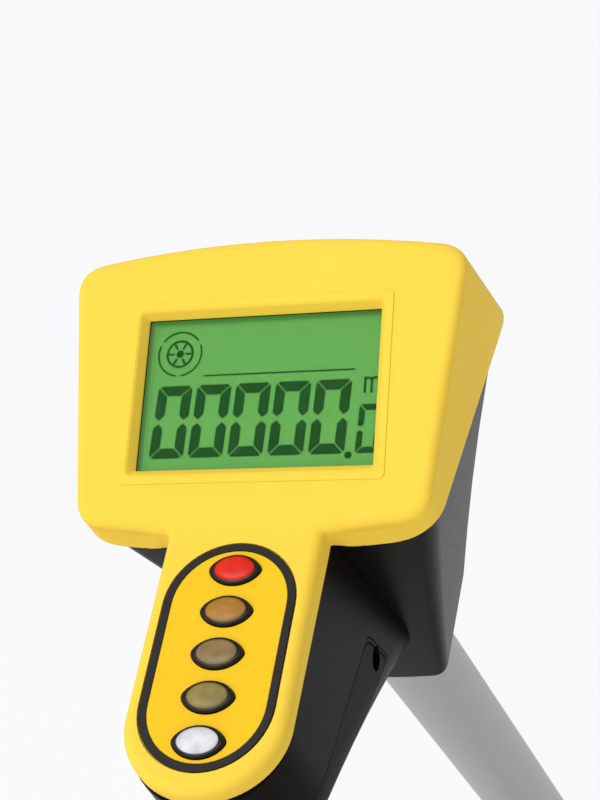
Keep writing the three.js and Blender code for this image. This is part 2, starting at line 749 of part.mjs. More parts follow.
const CROWN_SCREW = { y: 8, z: 173, radius: 3, headRadius: 5, headHeight: 3, reach: 11 };
const CABLE = { x: 16.5, radius: 1.8, start: 46.3, end: 172 };
const SENSOR = { near: 9, far: FORK_HALF_GAP - GAP, halfWidth: 10, low: 24, high: 46 };

function forkCrown() {
  const half = FORK_HALF_GAP - GAP;
  const crown = join(
    block(2 * half, 30, 24, 0, 0, CROWN_BOTTOM + 12),
    rodAlongZ(18, CROWN_BOTTOM + 15, CROWN_TOP),
  );
  const bore = rodAlongZ(LOWER_TUBE_RADIUS + GAP, LOWER_TUBE_START - GAP, CROWN_TOP + 1);
  const cableHole = rodAlongZ(CABLE.radius + GAP, CROWN_BOTTOM - 1, CABLE.end + 1, CABLE.x, 0, 12);
  const screwHoles = [-1, 1].map((side) => rodAlongX(
    CROWN_SCREW.radius + GAP,
    side * (CROWN_SCREW.reach - 2),
    side * 30,
    side * CROWN_SCREW.y,
    CROWN_SCREW.z,
    16,
  ));
  return cut(crown, bore, cableHole, ...screwHoles);
}

// A fork arm: a flat bar that tapers from the crown to a round end at the axle.
function forkArm(side) {
  const shape = new THREE.Shape();
  shape.moveTo(-15, 200);
  shape.lineTo(-13, 12);
  shape.absarc(0, 0, 14, 0.75 * Math.PI, 2.25 * Math.PI);
  shape.lineTo(13, 12);
  shape.lineTo(15, 200);
  const inner = side > 0 ? FORK_HALF_GAP : -FORK_HALF_GAP - ARM_THICKNESS;
  const bar = solid(alongX(extrude(shape, ARM_THICKNESS, inner, 10)));
  const axleHole = rodAlongX(AXLE_RADIUS + GAP, -40, 40);
  const { radius, y, z } = CROWN_SCREW;
  return cut(bar, axleHole, rodAlongX(radius + GAP, -40, 40, side * y, z, 16));
}

function crownScrew(side) {
  const { radius, headRadius, headHeight, reach, y, z } = CROWN_SCREW;
  const face = side * (FORK_HALF_GAP + ARM_THICKNESS + GAP);
  return join(
    rodAlongX(radius, side * reach, face + side * 0.5, side * y, z, 16),
    rodAlongX(headRadius, face, face + side * headHeight, side * y, z, 16),
  );
}

function sensorHousing() {
  const { near, far, halfWidth, low, high } = SENSOR;
  const middle = (low + high) / 2;
  const body = solid(block(far - near, 2 * halfWidth, high - low, (near + far) / 2, 0, middle));
  return cut(body, block(8, 2 * halfWidth - 4, high - low - 4, near + 3, 0, middle));
}

function buildLowerPole() {
  const outside = FORK_HALF_GAP + ARM_THICKNESS + GAP;
  const lowerTube = tube(LOWER_TUBE_RADIUS, TUBE_WALL, LOWER_TUBE_START, LOWER_TUBE_END);
  piece(pole, 'lower_tube', lowerTube, greyAluminium);
  piece(pole, 'tube_glide', tubeGlide(), whitePlastic);
  piece(pole, 'fork_crown', forkCrown(), blackPlastic);
  piece(pole, 'sensor_housing', sensorHousing(), blackPlastic);
  const cable = rodAlongZ(CABLE.radius, CABLE.start, CABLE.end, CABLE.x, 0, 8);
  piece(pole, 'sensor_cable', cable, blackRubber);
  for (const [name, side] of [['left', -1], ['right', 1]]) {
    piece(pole, `fork_arm_${name}`, forkArm(side), greyAluminium);
    piece(pole, `crown_screw_${name}`, crownScrew(side), zincSteel);
    const inner = HUB_HALF_LENGTH + GAP;
    const spacer = side > 0 ? [inner, FORK_HALF_GAP - GAP] : [GAP - FORK_HALF_GAP, -inner];
    piece(pole, `axle_spacer_${name}`, flatRing(AXLE_RADIUS + GAP, 5.6, ...spacer, 20), zincSteel);
  }
  const bolt = join(
    rodAlongX(AXLE_RADIUS, -outside - 1, outside + 8),
    rodAlongX(HEX_RADIUS, -outside - 5.3, -outside, 0, 0, 6),
  );
  piece(pole, 'axle_bolt', bolt, zincSteel);
  const hexagon = solid(rodAlongX(HEX_RADIUS, outside, outside + 6.5, 0, 0, 6));
  const nut = cut(hexagon, rodAlongX(AXLE_RADIUS + GAP, 0, 50));
  piece(pole, 'axle_nut', nut, zincSteel);
}

// ---- Wheel --------------------------------------------------------------------------------

const WHEEL_SEGMENTS = 54;

function tyre() {
  const inner = WHEEL_RADIUS - TYRE_DEPTH;
  const shoulder = WHEEL_RADIUS - 3;
  const tread = TYRE_HALF_WIDTH - 4;
  return ringAboutX([
    [-TYRE_HALF_WIDTH + 1, inner],
    [-TYRE_HALF_WIDTH, inner + 3],
    [-TYRE_HALF_WIDTH, shoulder],
    [-tread, WHEEL_RADIUS],
    [tread, WHEEL_RADIUS],
    [TYRE_HALF_WIDTH, shoulder],
    [TYRE_HALF_WIDTH, inner + 3],
    [TYRE_HALF_WIDTH - 1, inner],
  ], WHEEL_SEGMENTS);
}

function wheelRim() {
  const outer = WHEEL_RADIUS - TYRE_DEPTH - GAP;
  const seat = BEARING_RADIUS + GAP;
  const shoulder = HUB_HALF_LENGTH - BEARING_WIDTH - GAP;
  let rim = solid(flatRing(outer - RIM_DEPTH, outer, -9, 9, WHEEL_SEGMENTS));
  rim = rim.add(solid(ringAboutX([
    [-HUB_HALF_LENGTH, seat],
    [-HUB_HALF_LENGTH, HUB_RADIUS],
    [HUB_HALF_LENGTH, HUB_RADIUS],
    [HUB_HALF_LENGTH, seat],
    [shoulder, seat],
    [shoulder, 8],
    [-shoulder, 8],
    [-shoulder, seat],
  ], 36)));
  const spokeEnd = outer - RIM_DEPTH + 2;
  const spokeStart = HUB_RADIUS - 2;
  for (let index = 0; index < SPOKE_COUNT; index += 1) {
    const spoke = block(7, 14, spokeEnd - spokeStart, 0, 0, (spokeStart + spokeEnd) / 2);
    rim = rim.add(solid(spoke.rotateX((2 * Math.PI * index) / SPOKE_COUNT)));
  }
  return rim;
}

function buildWheel() {
  piece(pole, 'wheel_rim', wheelRim(), yellowPlastic);
  piece(pole, 'tyre', tyre(), blackRubber);
  piece(pole, 'magnet_ring', flatRing(26, 33, 3.8, 6.8), blackPlastic);
  for (const [name, side] of [['left', -1], ['right', 1]]) {
    const bearing = [HUB_HALF_LENGTH - BEARING_WIDTH - 0.2, HUB_HALF_LENGTH - 0.2];
    const cap = [HUB_HALF_LENGTH + GAP, HUB_HALF_LENGTH + 2.3];
    const placed = ([low, high]) => (side > 0 ? [low, high] : [-high, -low]);
    const races = flatRing(AXLE_RADIUS + GAP, BEARING_RADIUS, ...placed(bearing), 24);
    piece(pole, `bearing_${name}`, races, zincSteel);
    piece(pole, `hub_cap_${name}`, flatRing(6.5, 16, ...placed(cap), 24), blackPlastic);
  }
}

// ---- Kickstand ----------------------------------------------------------------------------

const LUG_HALF_WIDTH = 8.5;
const YOKE_HALF_WIDTH = 27;

function buildStandBracket() {
  const bracket = cut(
    join(
      rodAlongZ(17.5, STAND_HEIGHT - 8, STAND_HEIGHT + 8),
      block(2 * LUG_HALF_WIDTH, STAND_OFFSET - 13, 13, 0, -(STAND_OFFSET + 13) / 2, STAND_HEIGHT),
      rodAlongX(7.5, -LUG_HALF_WIDTH, LUG_HALF_WIDTH, -STAND_OFFSET, STAND_HEIGHT),
    ),
    rodAlongZ(LOWER_TUBE_RADIUS + GAP, STAND_HEIGHT - 10, STAND_HEIGHT + 10),
    rodAlongX(PIN_RADIUS + GAP, -20, 20, -STAND_OFFSET, STAND_HEIGHT),
  );
  piece(pole, 'stand_bracket', bracket, blackPlastic);
  const reach = YOKE_HALF_WIDTH + 1.5;
  piece(pole, 'stand_pin', rodAlongX(PIN_RADIUS, -reach, reach, -STAND_OFFSET, STAND_HEIGHT), zincSteel);
}

// The stand's own frame is level, with its origin on the pin.
const stand = new THREE.Group();
pole.updateMatrix();
stand.position.set(0, -STAND_OFFSET, STAND_HEIGHT).applyMatrix4(pole.matrix);
assembly.add(stand);

const LEG_ROOT_X = 18;
const pinHeight = stand.position.z;

function footPoint(side) {
  return new THREE.Vector3(side * FOOT_HALF_SPREAD, -FOOT_REACH, -pinHeight);
}

function legPoint(side, distance) {
  const root = new THREE.Vector3(side * LEG_ROOT_X, 0, 0);
  const run = footPoint(side).sub(root).normalize();
  return root.addScaledVector(run, distance);
}

function legLength() {
  const root = new THREE.Vector3(LEG_ROOT_X, 0, 0);
  return footPoint(1).distanceTo(root);
}

function standYoke() {
  const down = new THREE.Vector3(0, -FOOT_REACH, -pinHeight).normalize();
  const bridge = block(2 * YOKE_HALF_WIDTH, 12, 5).rotateX(Math.atan2(down.y, -down.z));
  bridge.translate(0, down.y * 13.5, down.z * 13.5);
  let yoke = solid(bridge);
  for (const side of [-1, 1]) {
    const knuckle = [LUG_HALF_WIDTH + GAP, YOKE_HALF_WIDTH].map((x) => side * x);
    yoke = yoke.add(solid(rodAlongX(8, ...knuckle)));
    yoke = yoke.add(solid(rod(7.5, legPoint(side, 6), legPoint(side, 36))));
  }
  for (const side of [-1, 1]) {
    yoke = cut(yoke, rod(LEG_RADIUS + GAP, legPoint(side, 18), legPoint(side, 60)));
  }
  const lugRoom = block(2 * (LUG_HALF_WIDTH + GAP), 20.5, 20.5);
  return cut(yoke, rodAlongX(PIN_RADIUS + GAP, -40, 40), lugRoom.rotateX(Math.atan2(down.y, -down.z)));
}

function foot(side) {
  const { x, y } = footPoint(side);
  const body = rodAlongZ(FOOT_RADIUS, -pinHeight, FOOT_HEIGHT - pinHeight, x, y, 24);
  return cut(solid(body), rod(LEG_RADIUS + GAP, legPoint(side, 60), legPoint(side, legLength() - 6 + GAP)));
}

function buildKickstand() {
  piece(stand, 'stand_yoke', standYoke(), blackPlastic);
  for (const [name, side] of [['left', -1], ['right', 1]]) {
    const leg = rod(LEG_RADIUS, legPoint(side, 18.3), legPoint(side, legLength() - 6));
    piece(stand, `leg_${name}`, leg, greyAluminium);
    piece(stand, `foot_${name}`, foot(side), blackRubber);
  }
}

// ---- The whole ----------------------------------------------------------------------------

function coverScrew(place) {
  const base = coverScrewSeat(place) + GAP;
  return join(
    coverScrewRod(place, 1.5, base - 9, base + 0.5, 12),
    coverScrewRod(place, 3, base, base + 1.6, 16),
  );
}

function buildHead() {
  piece(head, 'front_cover', frontCover(), yellowPlastic);
  piece(head, 'rear_housing', rearHousing(), blackPlastic);
  piece(head, 'rear_cover', rearCover(), blackPlastic);
  piece(head, 'grip_shell', gripShell(), blackPlastic);
  piece(head, 'grip_pad_left', gripPad(-1), blackRubber);
  piece(head, 'grip_pad_right', gripPad(1), blackRubber);
  piece(head, 'grip_screw', gripScrew(), zincSteel);
  piece(head, 'pole_screw', poleScrewRod(2.5, 4.6, 3), zincSteel);
  coverScrewPlaces().forEach((place, index) => {
    piece(slope, `cover_screw_${index + 1}`, coverScrew(place), zincSteel);
  });
}

buildHead();
buildScreenAndKeys();
buildBattery();
buildUpperPole();
buildLowerPole();
buildWheel();
buildStandBracket();
buildKickstand();

// The origin moves to the middle of the whole model on the floor.
const middle = new THREE.Box3().setFromObject(assembly, true).getCenter(new THREE.Vector3());
assembly.position.y = -middle.y;

export default assembly;
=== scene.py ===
"""Looks of a measuring wheel: digital head, pistol grip, telescopic pole, fork, wheel and kickstand.

Every shape is drawn in millimetres in a frame of its own part of the object (head, key plate,
back slope, pole, stand) and placed by that frame's matrix, which also turns it into metres.
"""
import json
import math

import bmesh
import bpy
from mathutils import Matrix, Vector


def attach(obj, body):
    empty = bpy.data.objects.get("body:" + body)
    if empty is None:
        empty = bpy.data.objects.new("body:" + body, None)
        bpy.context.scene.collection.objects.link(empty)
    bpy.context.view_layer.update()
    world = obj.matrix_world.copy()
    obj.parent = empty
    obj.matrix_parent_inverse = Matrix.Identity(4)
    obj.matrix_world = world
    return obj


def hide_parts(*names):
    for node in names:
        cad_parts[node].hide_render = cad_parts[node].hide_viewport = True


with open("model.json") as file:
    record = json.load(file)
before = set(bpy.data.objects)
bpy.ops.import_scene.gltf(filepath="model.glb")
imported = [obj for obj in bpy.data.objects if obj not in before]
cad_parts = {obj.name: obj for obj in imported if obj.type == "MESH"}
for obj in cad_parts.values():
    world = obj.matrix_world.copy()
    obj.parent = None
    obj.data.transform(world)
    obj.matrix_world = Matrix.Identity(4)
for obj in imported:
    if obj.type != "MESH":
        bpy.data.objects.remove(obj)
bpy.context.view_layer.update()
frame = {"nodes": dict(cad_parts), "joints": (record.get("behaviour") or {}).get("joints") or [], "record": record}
JOINTS = {joint["name"]: joint for joint in frame["joints"]}
SIDES = ("left", -1), ("right", 1)

# ---- Driving dimensions, in millimetres and degrees --------------------------------------------

HEAD_TILT = 9.2
FACE_DISTANCE = 1000.0
POLE_ENTRY_Y = -10.4
FACE = dict(top=42.7, bottom=-39.8, half_top=56.3, half_bottom=48.4,
            crown_top=5.3, crown_bottom=3.7, corner_top=8.0, corner_bottom=7.0)
SEAM_FORM = dict(FACE, top=43.5, bottom=-41.7, half_top=57.1, half_bottom=49.5)
SOCKET = dict(top=-10.0, bottom=-54.0, half_top=24.5, half_bottom=21.0,
              crown_top=1.5, crown_bottom=1.0, corner_top=9.0, corner_bottom=4.0)
SEAM_OFFSET = -26.8
SEAM_SLOPE = -0.5
SOCKET_OFFSET = -139.2
HOUSING_INSET = 2.2
HOUSING_LENGTH = 120.0
SEAM_ROUND = 0.6
SOCKET_ROUND = 3.0
TUBE_RADIUS = 14.0
WALL = 2.5
GAP = 0.3

WINDOW_HALF = (33.0, 21.35)
FRAME_HALF = (36.8, 25.7)
PLATE_BEND = 18.3
PLATE_ORIGIN = Vector((0.0, -34.65, -1.5))
PLATE_HALF_WIDTH = 21.3
PLATE_STRAIGHT = 57.0
PLATE_LENGTH = 77.0
PLATE_THICKNESS = 5.5
TRACK_HALF_WIDTH = 17.9
TRACK_HALF_LENGTH = 32.0
TRACK_CENTRE = -39.7
TRACK_DEPTH = 0.8
KEY_COUNT = 5
KEY_FIRST = -16.0
KEY_PITCH = 11.94
KEY_HALF = (6.9, 4.3)

SPLIT_DROP_FRONT = 15.0
SPLIT_DROP_REAR = 4.6
BAY_HALF_WIDTH = 29.0
BAY_START = -18.0
BAY_LENGTH = 36.0
BAY_DEPTH = 18.0

LCD_PLANE = -4.6
CAMERA_PLACE = Vector((166.8, -149.7, 425.5))
CAMERA_TARGET = Vector((12.8, -3.8, 0.0))
CAMERA_UP = Vector((0.037, 0.949, 0.312))
CAMERA_LENS = 82.3

# ---- Frames ------------------------------------------------------------------------------------


def shift(x, y, z):
    return Matrix.Translation((x, y, z))


def turn(degrees, axis):
    return Matrix.Rotation(math.radians(degrees), 4, axis)


METRES = Matrix.Scale(0.001, 4)
ABOUT_X = turn(90, "Y")


def pole_frame():
    """The pole's frame: its origin on the axle and +Z up the pole."""
    up = Vector(JOINTS["pole_slide"]["axis"]).normalized()
    across = Vector((1, 0, 0))
    basis = Matrix((across, up.cross(across), up)).transposed().to_4x4()
    return Matrix.Translation(JOINTS["wheel_spin"]["pos_m"]) @ basis @ METRES


def slope_frame(start, end):
    """+Y out of a slope that runs from start down to end, and -Z down it."""
    lean = math.degrees(math.atan2(end.y - start.y, start.z - end.z))
    return Matrix.Translation(start) @ turn(lean, "X")


TILT = math.radians(HEAD_TILT)
SOCKET_SLOPE = -math.tan(TILT)
POLE = pole_frame()
HEAD = POLE @ shift(
    0,
    -POLE_ENTRY_Y * math.cos(TILT),
    FACE_DISTANCE - POLE_ENTRY_Y * math.sin(TILT),
) @ turn(HEAD_TILT, "X")
PLATE_IN_HEAD = Matrix.Translation(PLATE_ORIGIN) @ turn(-PLATE_BEND, "X")
PLATE = HEAD @ PLATE_IN_HEAD
SLOPE_TOP = Vector((0, SEAM_FORM["top"] - HOUSING_INSET, SEAM_OFFSET + SEAM_SLOPE * SEAM_FORM["top"]))
SLOPE_END = Vector((0, SOCKET["top"], SOCKET_OFFSET + SOCKET_SLOPE * SOCKET["top"]))
SLOPE_IN_HEAD = slope_frame(SLOPE_TOP, SLOPE_END)
SLOPE = HEAD @ SLOPE_IN_HEAD
SPLIT_IN_HEAD = slope_frame(
    SLOPE_TOP - Vector((0, SPLIT_DROP_FRONT, 0)),
    SLOPE_END - Vector((0, SPLIT_DROP_REAR, 0)),
)
STAND = Matrix.Translation(JOINTS["kickstand_fold"]["pos_m"]) @ METRES
POLE_ENTRY = Vector((0, POLE_ENTRY_Y, 0))
POLE_DOWN = Vector((0, -math.sin(TILT), -math.cos(TILT)))


def reach(node, place):
    """Lowest and highest corner of a CAD node in a frame, in that frame's millimetres."""
    inverse = place.inverted()
    points = [inverse @ vertex.co for vertex in frame["nodes"][node].data.vertices]
    low = Vector(min(point[axis] for point in points) for axis in range(3))
    high = Vector(max(point[axis] for point in points) for axis in range(3))
    return low, high


def outward_reach(node, side):
    """How near to the middle plane and how far from it a node of one side of the pole lies."""
    low, high = reach(node, POLE)
    return (low.x, high.x) if side > 0 else (-high.x, -low.x)


# ---- Materials ---------------------------------------------------------------------------------


def set_inputs(node, values):
    """Sets inputs of a shader node by their names, given in lower case with underscores."""
    for name, value in values.items():
        node.inputs[name.replace("_", " ").title().replace("Ior", "IOR")].default_value = value


def add_node(tree, kind, **values):
    node = tree.nodes.new(f"ShaderNode{kind}")
    set_inputs(node, values)
    return node


def link_noise(tree, scale, detail):
    """A noise texture in object space."""
    coordinates = add_node(tree, "TexCoord")
    noise = add_node(tree, "TexNoise", scale=scale, detail=detail)
    tree.links.new(coordinates.outputs["Object"], noise.inputs["Vector"])
    return noise.outputs["Fac"]


def link_range(tree, factor, low, high):
    """Maps a noise's middle range onto low to high."""
    node = add_node(tree, "MapRange", from_min=0.3, from_max=0.7, to_min=low, to_max=high)
    tree.links.new(factor, node.inputs["Value"])
    return node.outputs["Result"]


def surface(name, shades, roughness, mottle=60.0, grain=2500.0, bump=0.15, **sockets):
    """A finish with two shades mixed by a soft mottle, and a fine grain in gloss and bump."""
    material = bpy.data.materials.new(name)
    material.use_nodes = True
    tree = material.node_tree
    shader = tree.nodes["Principled BSDF"]
    set_inputs(shader, sockets)
    blend = add_node(tree, "Mix")
    blend.data_type = "RGBA"
    set_inputs(blend, dict(a=(*shades[0], 1), b=(*shades[1], 1)))
    mottled = link_range(tree, link_noise(tree, mottle, 3), 0, 1)
    tree.links.new(mottled, blend.inputs["Factor"])
    tree.links.new(blend.outputs["Result"], shader.inputs["Base Color"])
    fine = link_noise(tree, grain, 2)
    tree.links.new(link_range(tree, fine, *roughness), shader.inputs["Roughness"])
    relief = add_node(tree, "Bump", strength=bump, distance=0.0001)
    tree.links.new(fine, relief.inputs["Height"])
    tree.links.new(relief.outputs["Normal"], shader.inputs["Normal"])
    return material


def board_material():
    """Green solder mask with lighter copper runs under it."""
    material = surface("circuit_board", ((0.01, 0.12, 0.04), (0.02, 0.17, 0.06)), (0.3, 0.45))
    tree = material.node_tree
    runs = add_node(
        tree, "TexBrick", scale=90, color1=(0.015, 0.14, 0.05, 1),
        color2=(0.01, 0.11, 0.04, 1), mortar=(0.05, 0.25, 0.09, 1),
    )
    coordinates = add_node(tree, "TexCoord")
    tree.links.new(coordinates.outputs["Object"], runs.inputs["Vector"])
    shader = tree.nodes["Principled BSDF"]
    tree.links.new(runs.outputs["Color"], shader.inputs["Base Color"])
    return material


def key_material(name, colour):
    darker = tuple(0.7 * value for value in colour)
    return surface(
        name, (darker, colour), (0.3, 0.42), mottle=260, grain=3000, bump=0.05, specular_ior_level=0.2,
    )


BLACK = (0.0056, 0.0044, 0.0036)
FINISHES = dict(
    yellow_plastic=dict(
        shades=((0.90, 0.61, 0.065), (0.93, 0.64, 0.070)), roughness=(0.42, 0.54),
        mottle=25, grain=3500, bump=0.05, specular_ior_level=0.03,
    ),
    keypad_yellow=dict(
        shades=((0.85, 0.52, 0.004), (0.88, 0.55, 0.006)), roughness=(0.5, 0.65),
        mottle=80, bump=0.08, specular_ior_level=0.2,
    ),
    black_plastic=dict(
        shades=(BLACK, (0.0080, 0.0064, 0.0054)), roughness=(0.27, 0.36),
        mottle=500, grain=1700, bump=0.07, specular_ior_level=0.014,
    ),
    smooth_black=dict(
        shades=(BLACK, (0.008, 0.0075, 0.007)), roughness=(0.16, 0.26),
        bump=0.05, specular_ior_level=0.3,
    ),
    key_rim=dict(
        shades=(BLACK, (0.007, 0.0065, 0.006)), roughness=(0.3, 0.4),
        mottle=300, bump=0.05, specular_ior_level=0.25,
    ),
    charcoal=dict(
        shades=((0.014, 0.012, 0.01), (0.018, 0.016, 0.013)), roughness=(0.45, 0.6),
        bump=0.1, specular_ior_level=0.2,
    ),
    black_rubber=dict(
        shades=(BLACK, (0.007, 0.0068, 0.0064)), roughness=(0.42, 0.55),
        mottle=500, grain=1800, bump=0.15, specular_ior_level=0.03,
    ),
    tyre_rubber=dict(
        shades=((0.008, 0.008, 0.008), (0.02, 0.019, 0.018)), roughness=(0.65, 0.85),
        mottle=70, grain=900, bump=0.5, specular_ior_level=0.3,
    ),
    grey_aluminium=dict(
        shades=((0.33, 0.33, 0.31), (0.35, 0.35, 0.33)), roughness=(0.36, 0.44),
        mottle=400, grain=4000, bump=0.1, metallic=0.75,
    ),
    zinc_steel=dict(
        shades=((0.52, 0.53, 0.54), (0.66, 0.66, 0.66)), roughness=(0.22, 0.36),
        mottle=300, bump=0.1, metallic=1.0,
    ),
    clear_lens=dict(
        shades=((0.02, 0.03, 0.02), (0.03, 0.04, 0.03)), roughness=(0.03, 0.06),
        bump=0.01, alpha=0.03, specular_ior_level=0.3,
    ),
    lcd_glass=dict(
        shades=((0.076, 0.285, 0.045), (0.088, 0.31, 0.052)), roughness=(0.3, 0.4),
        mottle=30, bump=0.02,
        emission_color=(0.15, 0.46, 0.10, 1), emission_strength=0.2, specular_ior_level=0.04,
    ),
    lcd_edge=dict(
        shades=((0.14, 0.40, 0.09), (0.16, 0.43, 0.11)), roughness=(0.3, 0.4),
        mottle=60, bump=0.02,
        emission_color=(0.2, 0.5, 0.14, 1), emission_strength=0.2, specular_ior_level=0.04,
    ),
    lcd_ink=dict(
        shades=((0.003, 0.065, 0.004), (0.004, 0.075, 0.006)), roughness=(0.4, 0.5),
        mottle=200, bump=0.02, specular_ior_level=0.02,
    ),
    white_plastic=dict(
        shades=((0.7, 0.69, 0.66), (0.8, 0.79, 0.76)), roughness=(0.4, 0.5),
        bump=0.1,
    ),
    cell_sleeve=dict(
        shades=((0.02, 0.05, 0.13), (0.03, 0.07, 0.18)), roughness=(0.2, 0.3),
        mottle=40, bump=0.03, coat_weight=0.5,
    ),
)
KEY_COLOURS = dict(
    key_red=(0.82, 0.02, 0.008),
    key_amber=(0.42, 0.20, 0.03),
    key_stone=(0.30, 0.20, 0.085),
    key_olive=(0.30, 0.23, 0.07),
    key_white=(0.74, 0.74, 0.78),
)


def make_materials():
    made = {name: surface(name, **finish) for name, finish in FINISHES.items()}
    made["circuit_board"] = board_material()
    for name, colour in KEY_COLOURS.items():
        made[name] = key_material(name, colour)
    return made


MATERIALS = make_materials()

# ---- Outlines and profiles ---------------------------------------------------------------------


def curve(start, control, end, steps):
    """Points of a quadratic curve, both ends included."""
    points = []
    for step in range(steps + 1):
        t = step / steps
        points.append(start * (1 - t) ** 2 + control * 2 * t * (1 - t) + end * t * t)
    return points


def arc(x, y, radius, start, stop, steps, squash=1.0):
    """Points round a centre from one angle to another, both ends included."""
    points = []
    for step in range(steps + 1):
        angle = math.radians(start + (stop - start) * step / steps)
        points.append(Vector((x + radius * math.cos(angle), y + squash * radius * math.sin(angle))))
    return points


def distinct(points, least=1e-3):
    """A closed outline without points that lie on the one before."""
    kept = []
    for point in points:
        if not kept or (point - kept[-1]).length > least:
            kept.append(point)
    while (kept[0] - kept[-1]).length <= least:
        kept.pop()
    return kept


def mirrored(points):
    """The same points on the other side of X = 0, from the last to the first."""
    return [Vector((-point.x, point.y)) for point in reversed(points)]


def at_y(outline, y):
    return [point + Vector((0, y)) for point in outline]


def quarter(steps):
    """Two shares at each step of a quarter round: one falls from 1 to 0, the other rises to 1."""
    angles = [math.pi / 2 * step / steps for step in range(steps + 1)]
    return [(1 - math.sin(angle), 1 - math.cos(angle)) for angle in angles]


def soft_corner(corners, index, radius, steps):
    """The curve that takes the place of one corner of a closed outline."""
    corner = corners[index]
    before = corners[index - 1] - corner
    after = corners[(index + 1) % len(corners)] - corner
    first = corner + before.normalized() * min(radius, before.length * 0.48)
    last = corner + after.normalized() * min(radius, after.length * 0.48)
    return curve(first, corner, last, steps)


def rounded(corners, radius, steps=4):
    """A closed outline with each corner rounded."""
    corners = [Vector(corner) for corner in corners]
    points = []
    for index in range(len(corners)):
        points.extend(soft_corner(corners, index, radius, steps))
    return distinct(points)


def lathe_profile(corners, radius, steps=4):
    """A (radius, height) profile with each corner rounded, apart from those on the axis."""
    corners = [Vector(corner) for corner in corners]
    points = []
    for index, corner in enumerate(corners):
        if corner.x < 1e-6:
            points.append(corner)
        else:
            points.extend(soft_corner(corners, index, radius, steps))
    return distinct(points)


def rectangle(half_width, half_height, radius, steps=6, x=0.0, y=0.0):
    points = []
    for side_x, side_y, start in ((1, 1, 0), (-1, 1, 90), (-1, -1, 180), (1, -1, 270)):
        centre_x = x + side_x * (half_width - radius)
        centre_y = y + side_y * (half_height - radius)
        points.extend(arc(centre_x, centre_y, radius, start, start + 90, steps))
    return distinct(points)


def grown(outline, distance):
    """An anticlockwise outline moved outwards, or inwards where the distance is negative."""
    moved = []
    for index, point in enumerate(outline):
        before = (point - outline[index - 1]).normalized()
        after = (outline[(index + 1) % len(outline)] - point).normalized()
        normals = Vector((before.y, -before.x)), Vector((after.y, -after.x))
        share = 1 + normals[0].dot(normals[1])
        moved.append(point + (normals[0] + normals[1]) * (distance / max(share, 0.3)))
    return moved


def inset_form(form, inset):
    """The sizes of a head outline that lies inset millimetres inside another."""
    return dict(
        form,
        top=form["top"] - inset,
        bottom=form["bottom"] + inset,
        half_top=form["half_top"] - inset,
        half_bottom=form["half_bottom"] - inset,
    )


def top_corner(form):
    return Vector((form["half_top"], form["top"] - form["crown_top"]))


def bottom_corner(form):
    return Vector((form["half_bottom"], form["bottom"] + form["crown_bottom"]))


def crowned_top(form, steps):
    """The upper part of the head's outline, from the right side over the top to the left."""
    corner = top_corner(form)
    side = corner + (bottom_corner(form) - corner).normalized() * form["corner_top"]
    reach_x = form["half_top"] - form["corner_top"]
    reach_y = form["top"] - form["crown_top"] * (reach_x / form["half_top"]) ** 2
    start, end = Vector((reach_x, reach_y)), Vector((-reach_x, reach_y))
    right = curve(side, corner, start, steps)
    over = curve(start, Vector((0, 2 * form["top"] - reach_y)), end, 3 * steps)
    return right + over + mirrored(right)


def crowned_corner(form, steps):
    """The lower left corner of the head's outline, from its side round to its bottom edge."""
    corner = bottom_corner(form)
    side = corner + (top_corner(form) - corner).normalized() * form["corner_bottom"]
    reach_x = form["half_bottom"] - form["corner_bottom"]
    right = curve(side, corner, Vector((reach_x, bottom_edge(form, reach_x))), steps)
    return [Vector((-point.x, point.y)) for point in right]


def bottom_edge(form, x):
    return form["bottom"] + form["crown_bottom"] * (x / form["half_bottom"]) ** 2


def crowned_outline(form, inset=0.0, steps=6):
    """The head's whole outline, anticlockwise: crowned top and bottom and four soft corners."""
    form = inset_form(form, inset)
    left = crowned_corner(form, steps)
    reach_x = -left[-1].x
    reach_y = left[-1].y
    middle = Vector((0, 2 * form["bottom"] - reach_y))
    under = curve(left[-1], middle, Vector((reach_x, reach_y)), 3 * steps)
    return distinct(crowned_top(form, steps) + left + under + mirrored(left))


def eye(half_width, half_height, point, steps=14):
    """An ellipse whose two ends are drawn out to soft tips, more so the larger point is."""
    outline = []
    for step in range(4 * steps):
        angle = math.pi / 2 * step / steps
        height = half_height * abs(math.sin(angle)) ** point
        outline.append(Vector((half_width * math.cos(angle), math.copysign(height, math.sin(angle)))))
    return outline


def key_outline(grow=0.0):
    return eye(KEY_HALF[0] + grow, KEY_HALF[1] + grow, 1.3)


def track_outline(shrink=0.0):
    radius = TRACK_HALF_WIDTH - shrink
    return rectangle(radius, TRACK_HALF_LENGTH - shrink, radius - 0.01, 14)


# ---- Solids ------------------------------------------------------------------------------------


def loft(rings):
    """A closed skin over matching rings of 3-D points, with a flat cap at each end."""
    mesh = bmesh.new()
    levels = [[mesh.verts.new(point) for point in ring] for ring in rings]
    count = len(rings[0])
    for lower, upper in zip(levels, levels[1:]):
        for index in range(count):
            after = (index + 1) % count
            mesh.faces.new((lower[index], lower[after], upper[after], upper[index]))
    mesh.faces.new(list(reversed(levels[0])))
    mesh.faces.new(levels[-1])
    bmesh.ops.recalc_face_normals(mesh, faces=mesh.faces)
    mesh.verts.index_update()
    return mesh


def at_height(outline, z):
    return [Vector((point.x, point.y, z)) for point in outline]


def prism(outline, low, high, edge=0.4, steps=3):
    """An outline extruded from low to high, with both its rims rounded."""
    rims = [(grown(outline, -edge * inwards), edge * rise) for inwards, rise in quarter(steps)]
    rings = [at_height(rim, low + rise) for rim, rise in rims]
    rings += [at_height(rim, high - rise) for rim, rise in reversed(rims)]
    return loft(rings)


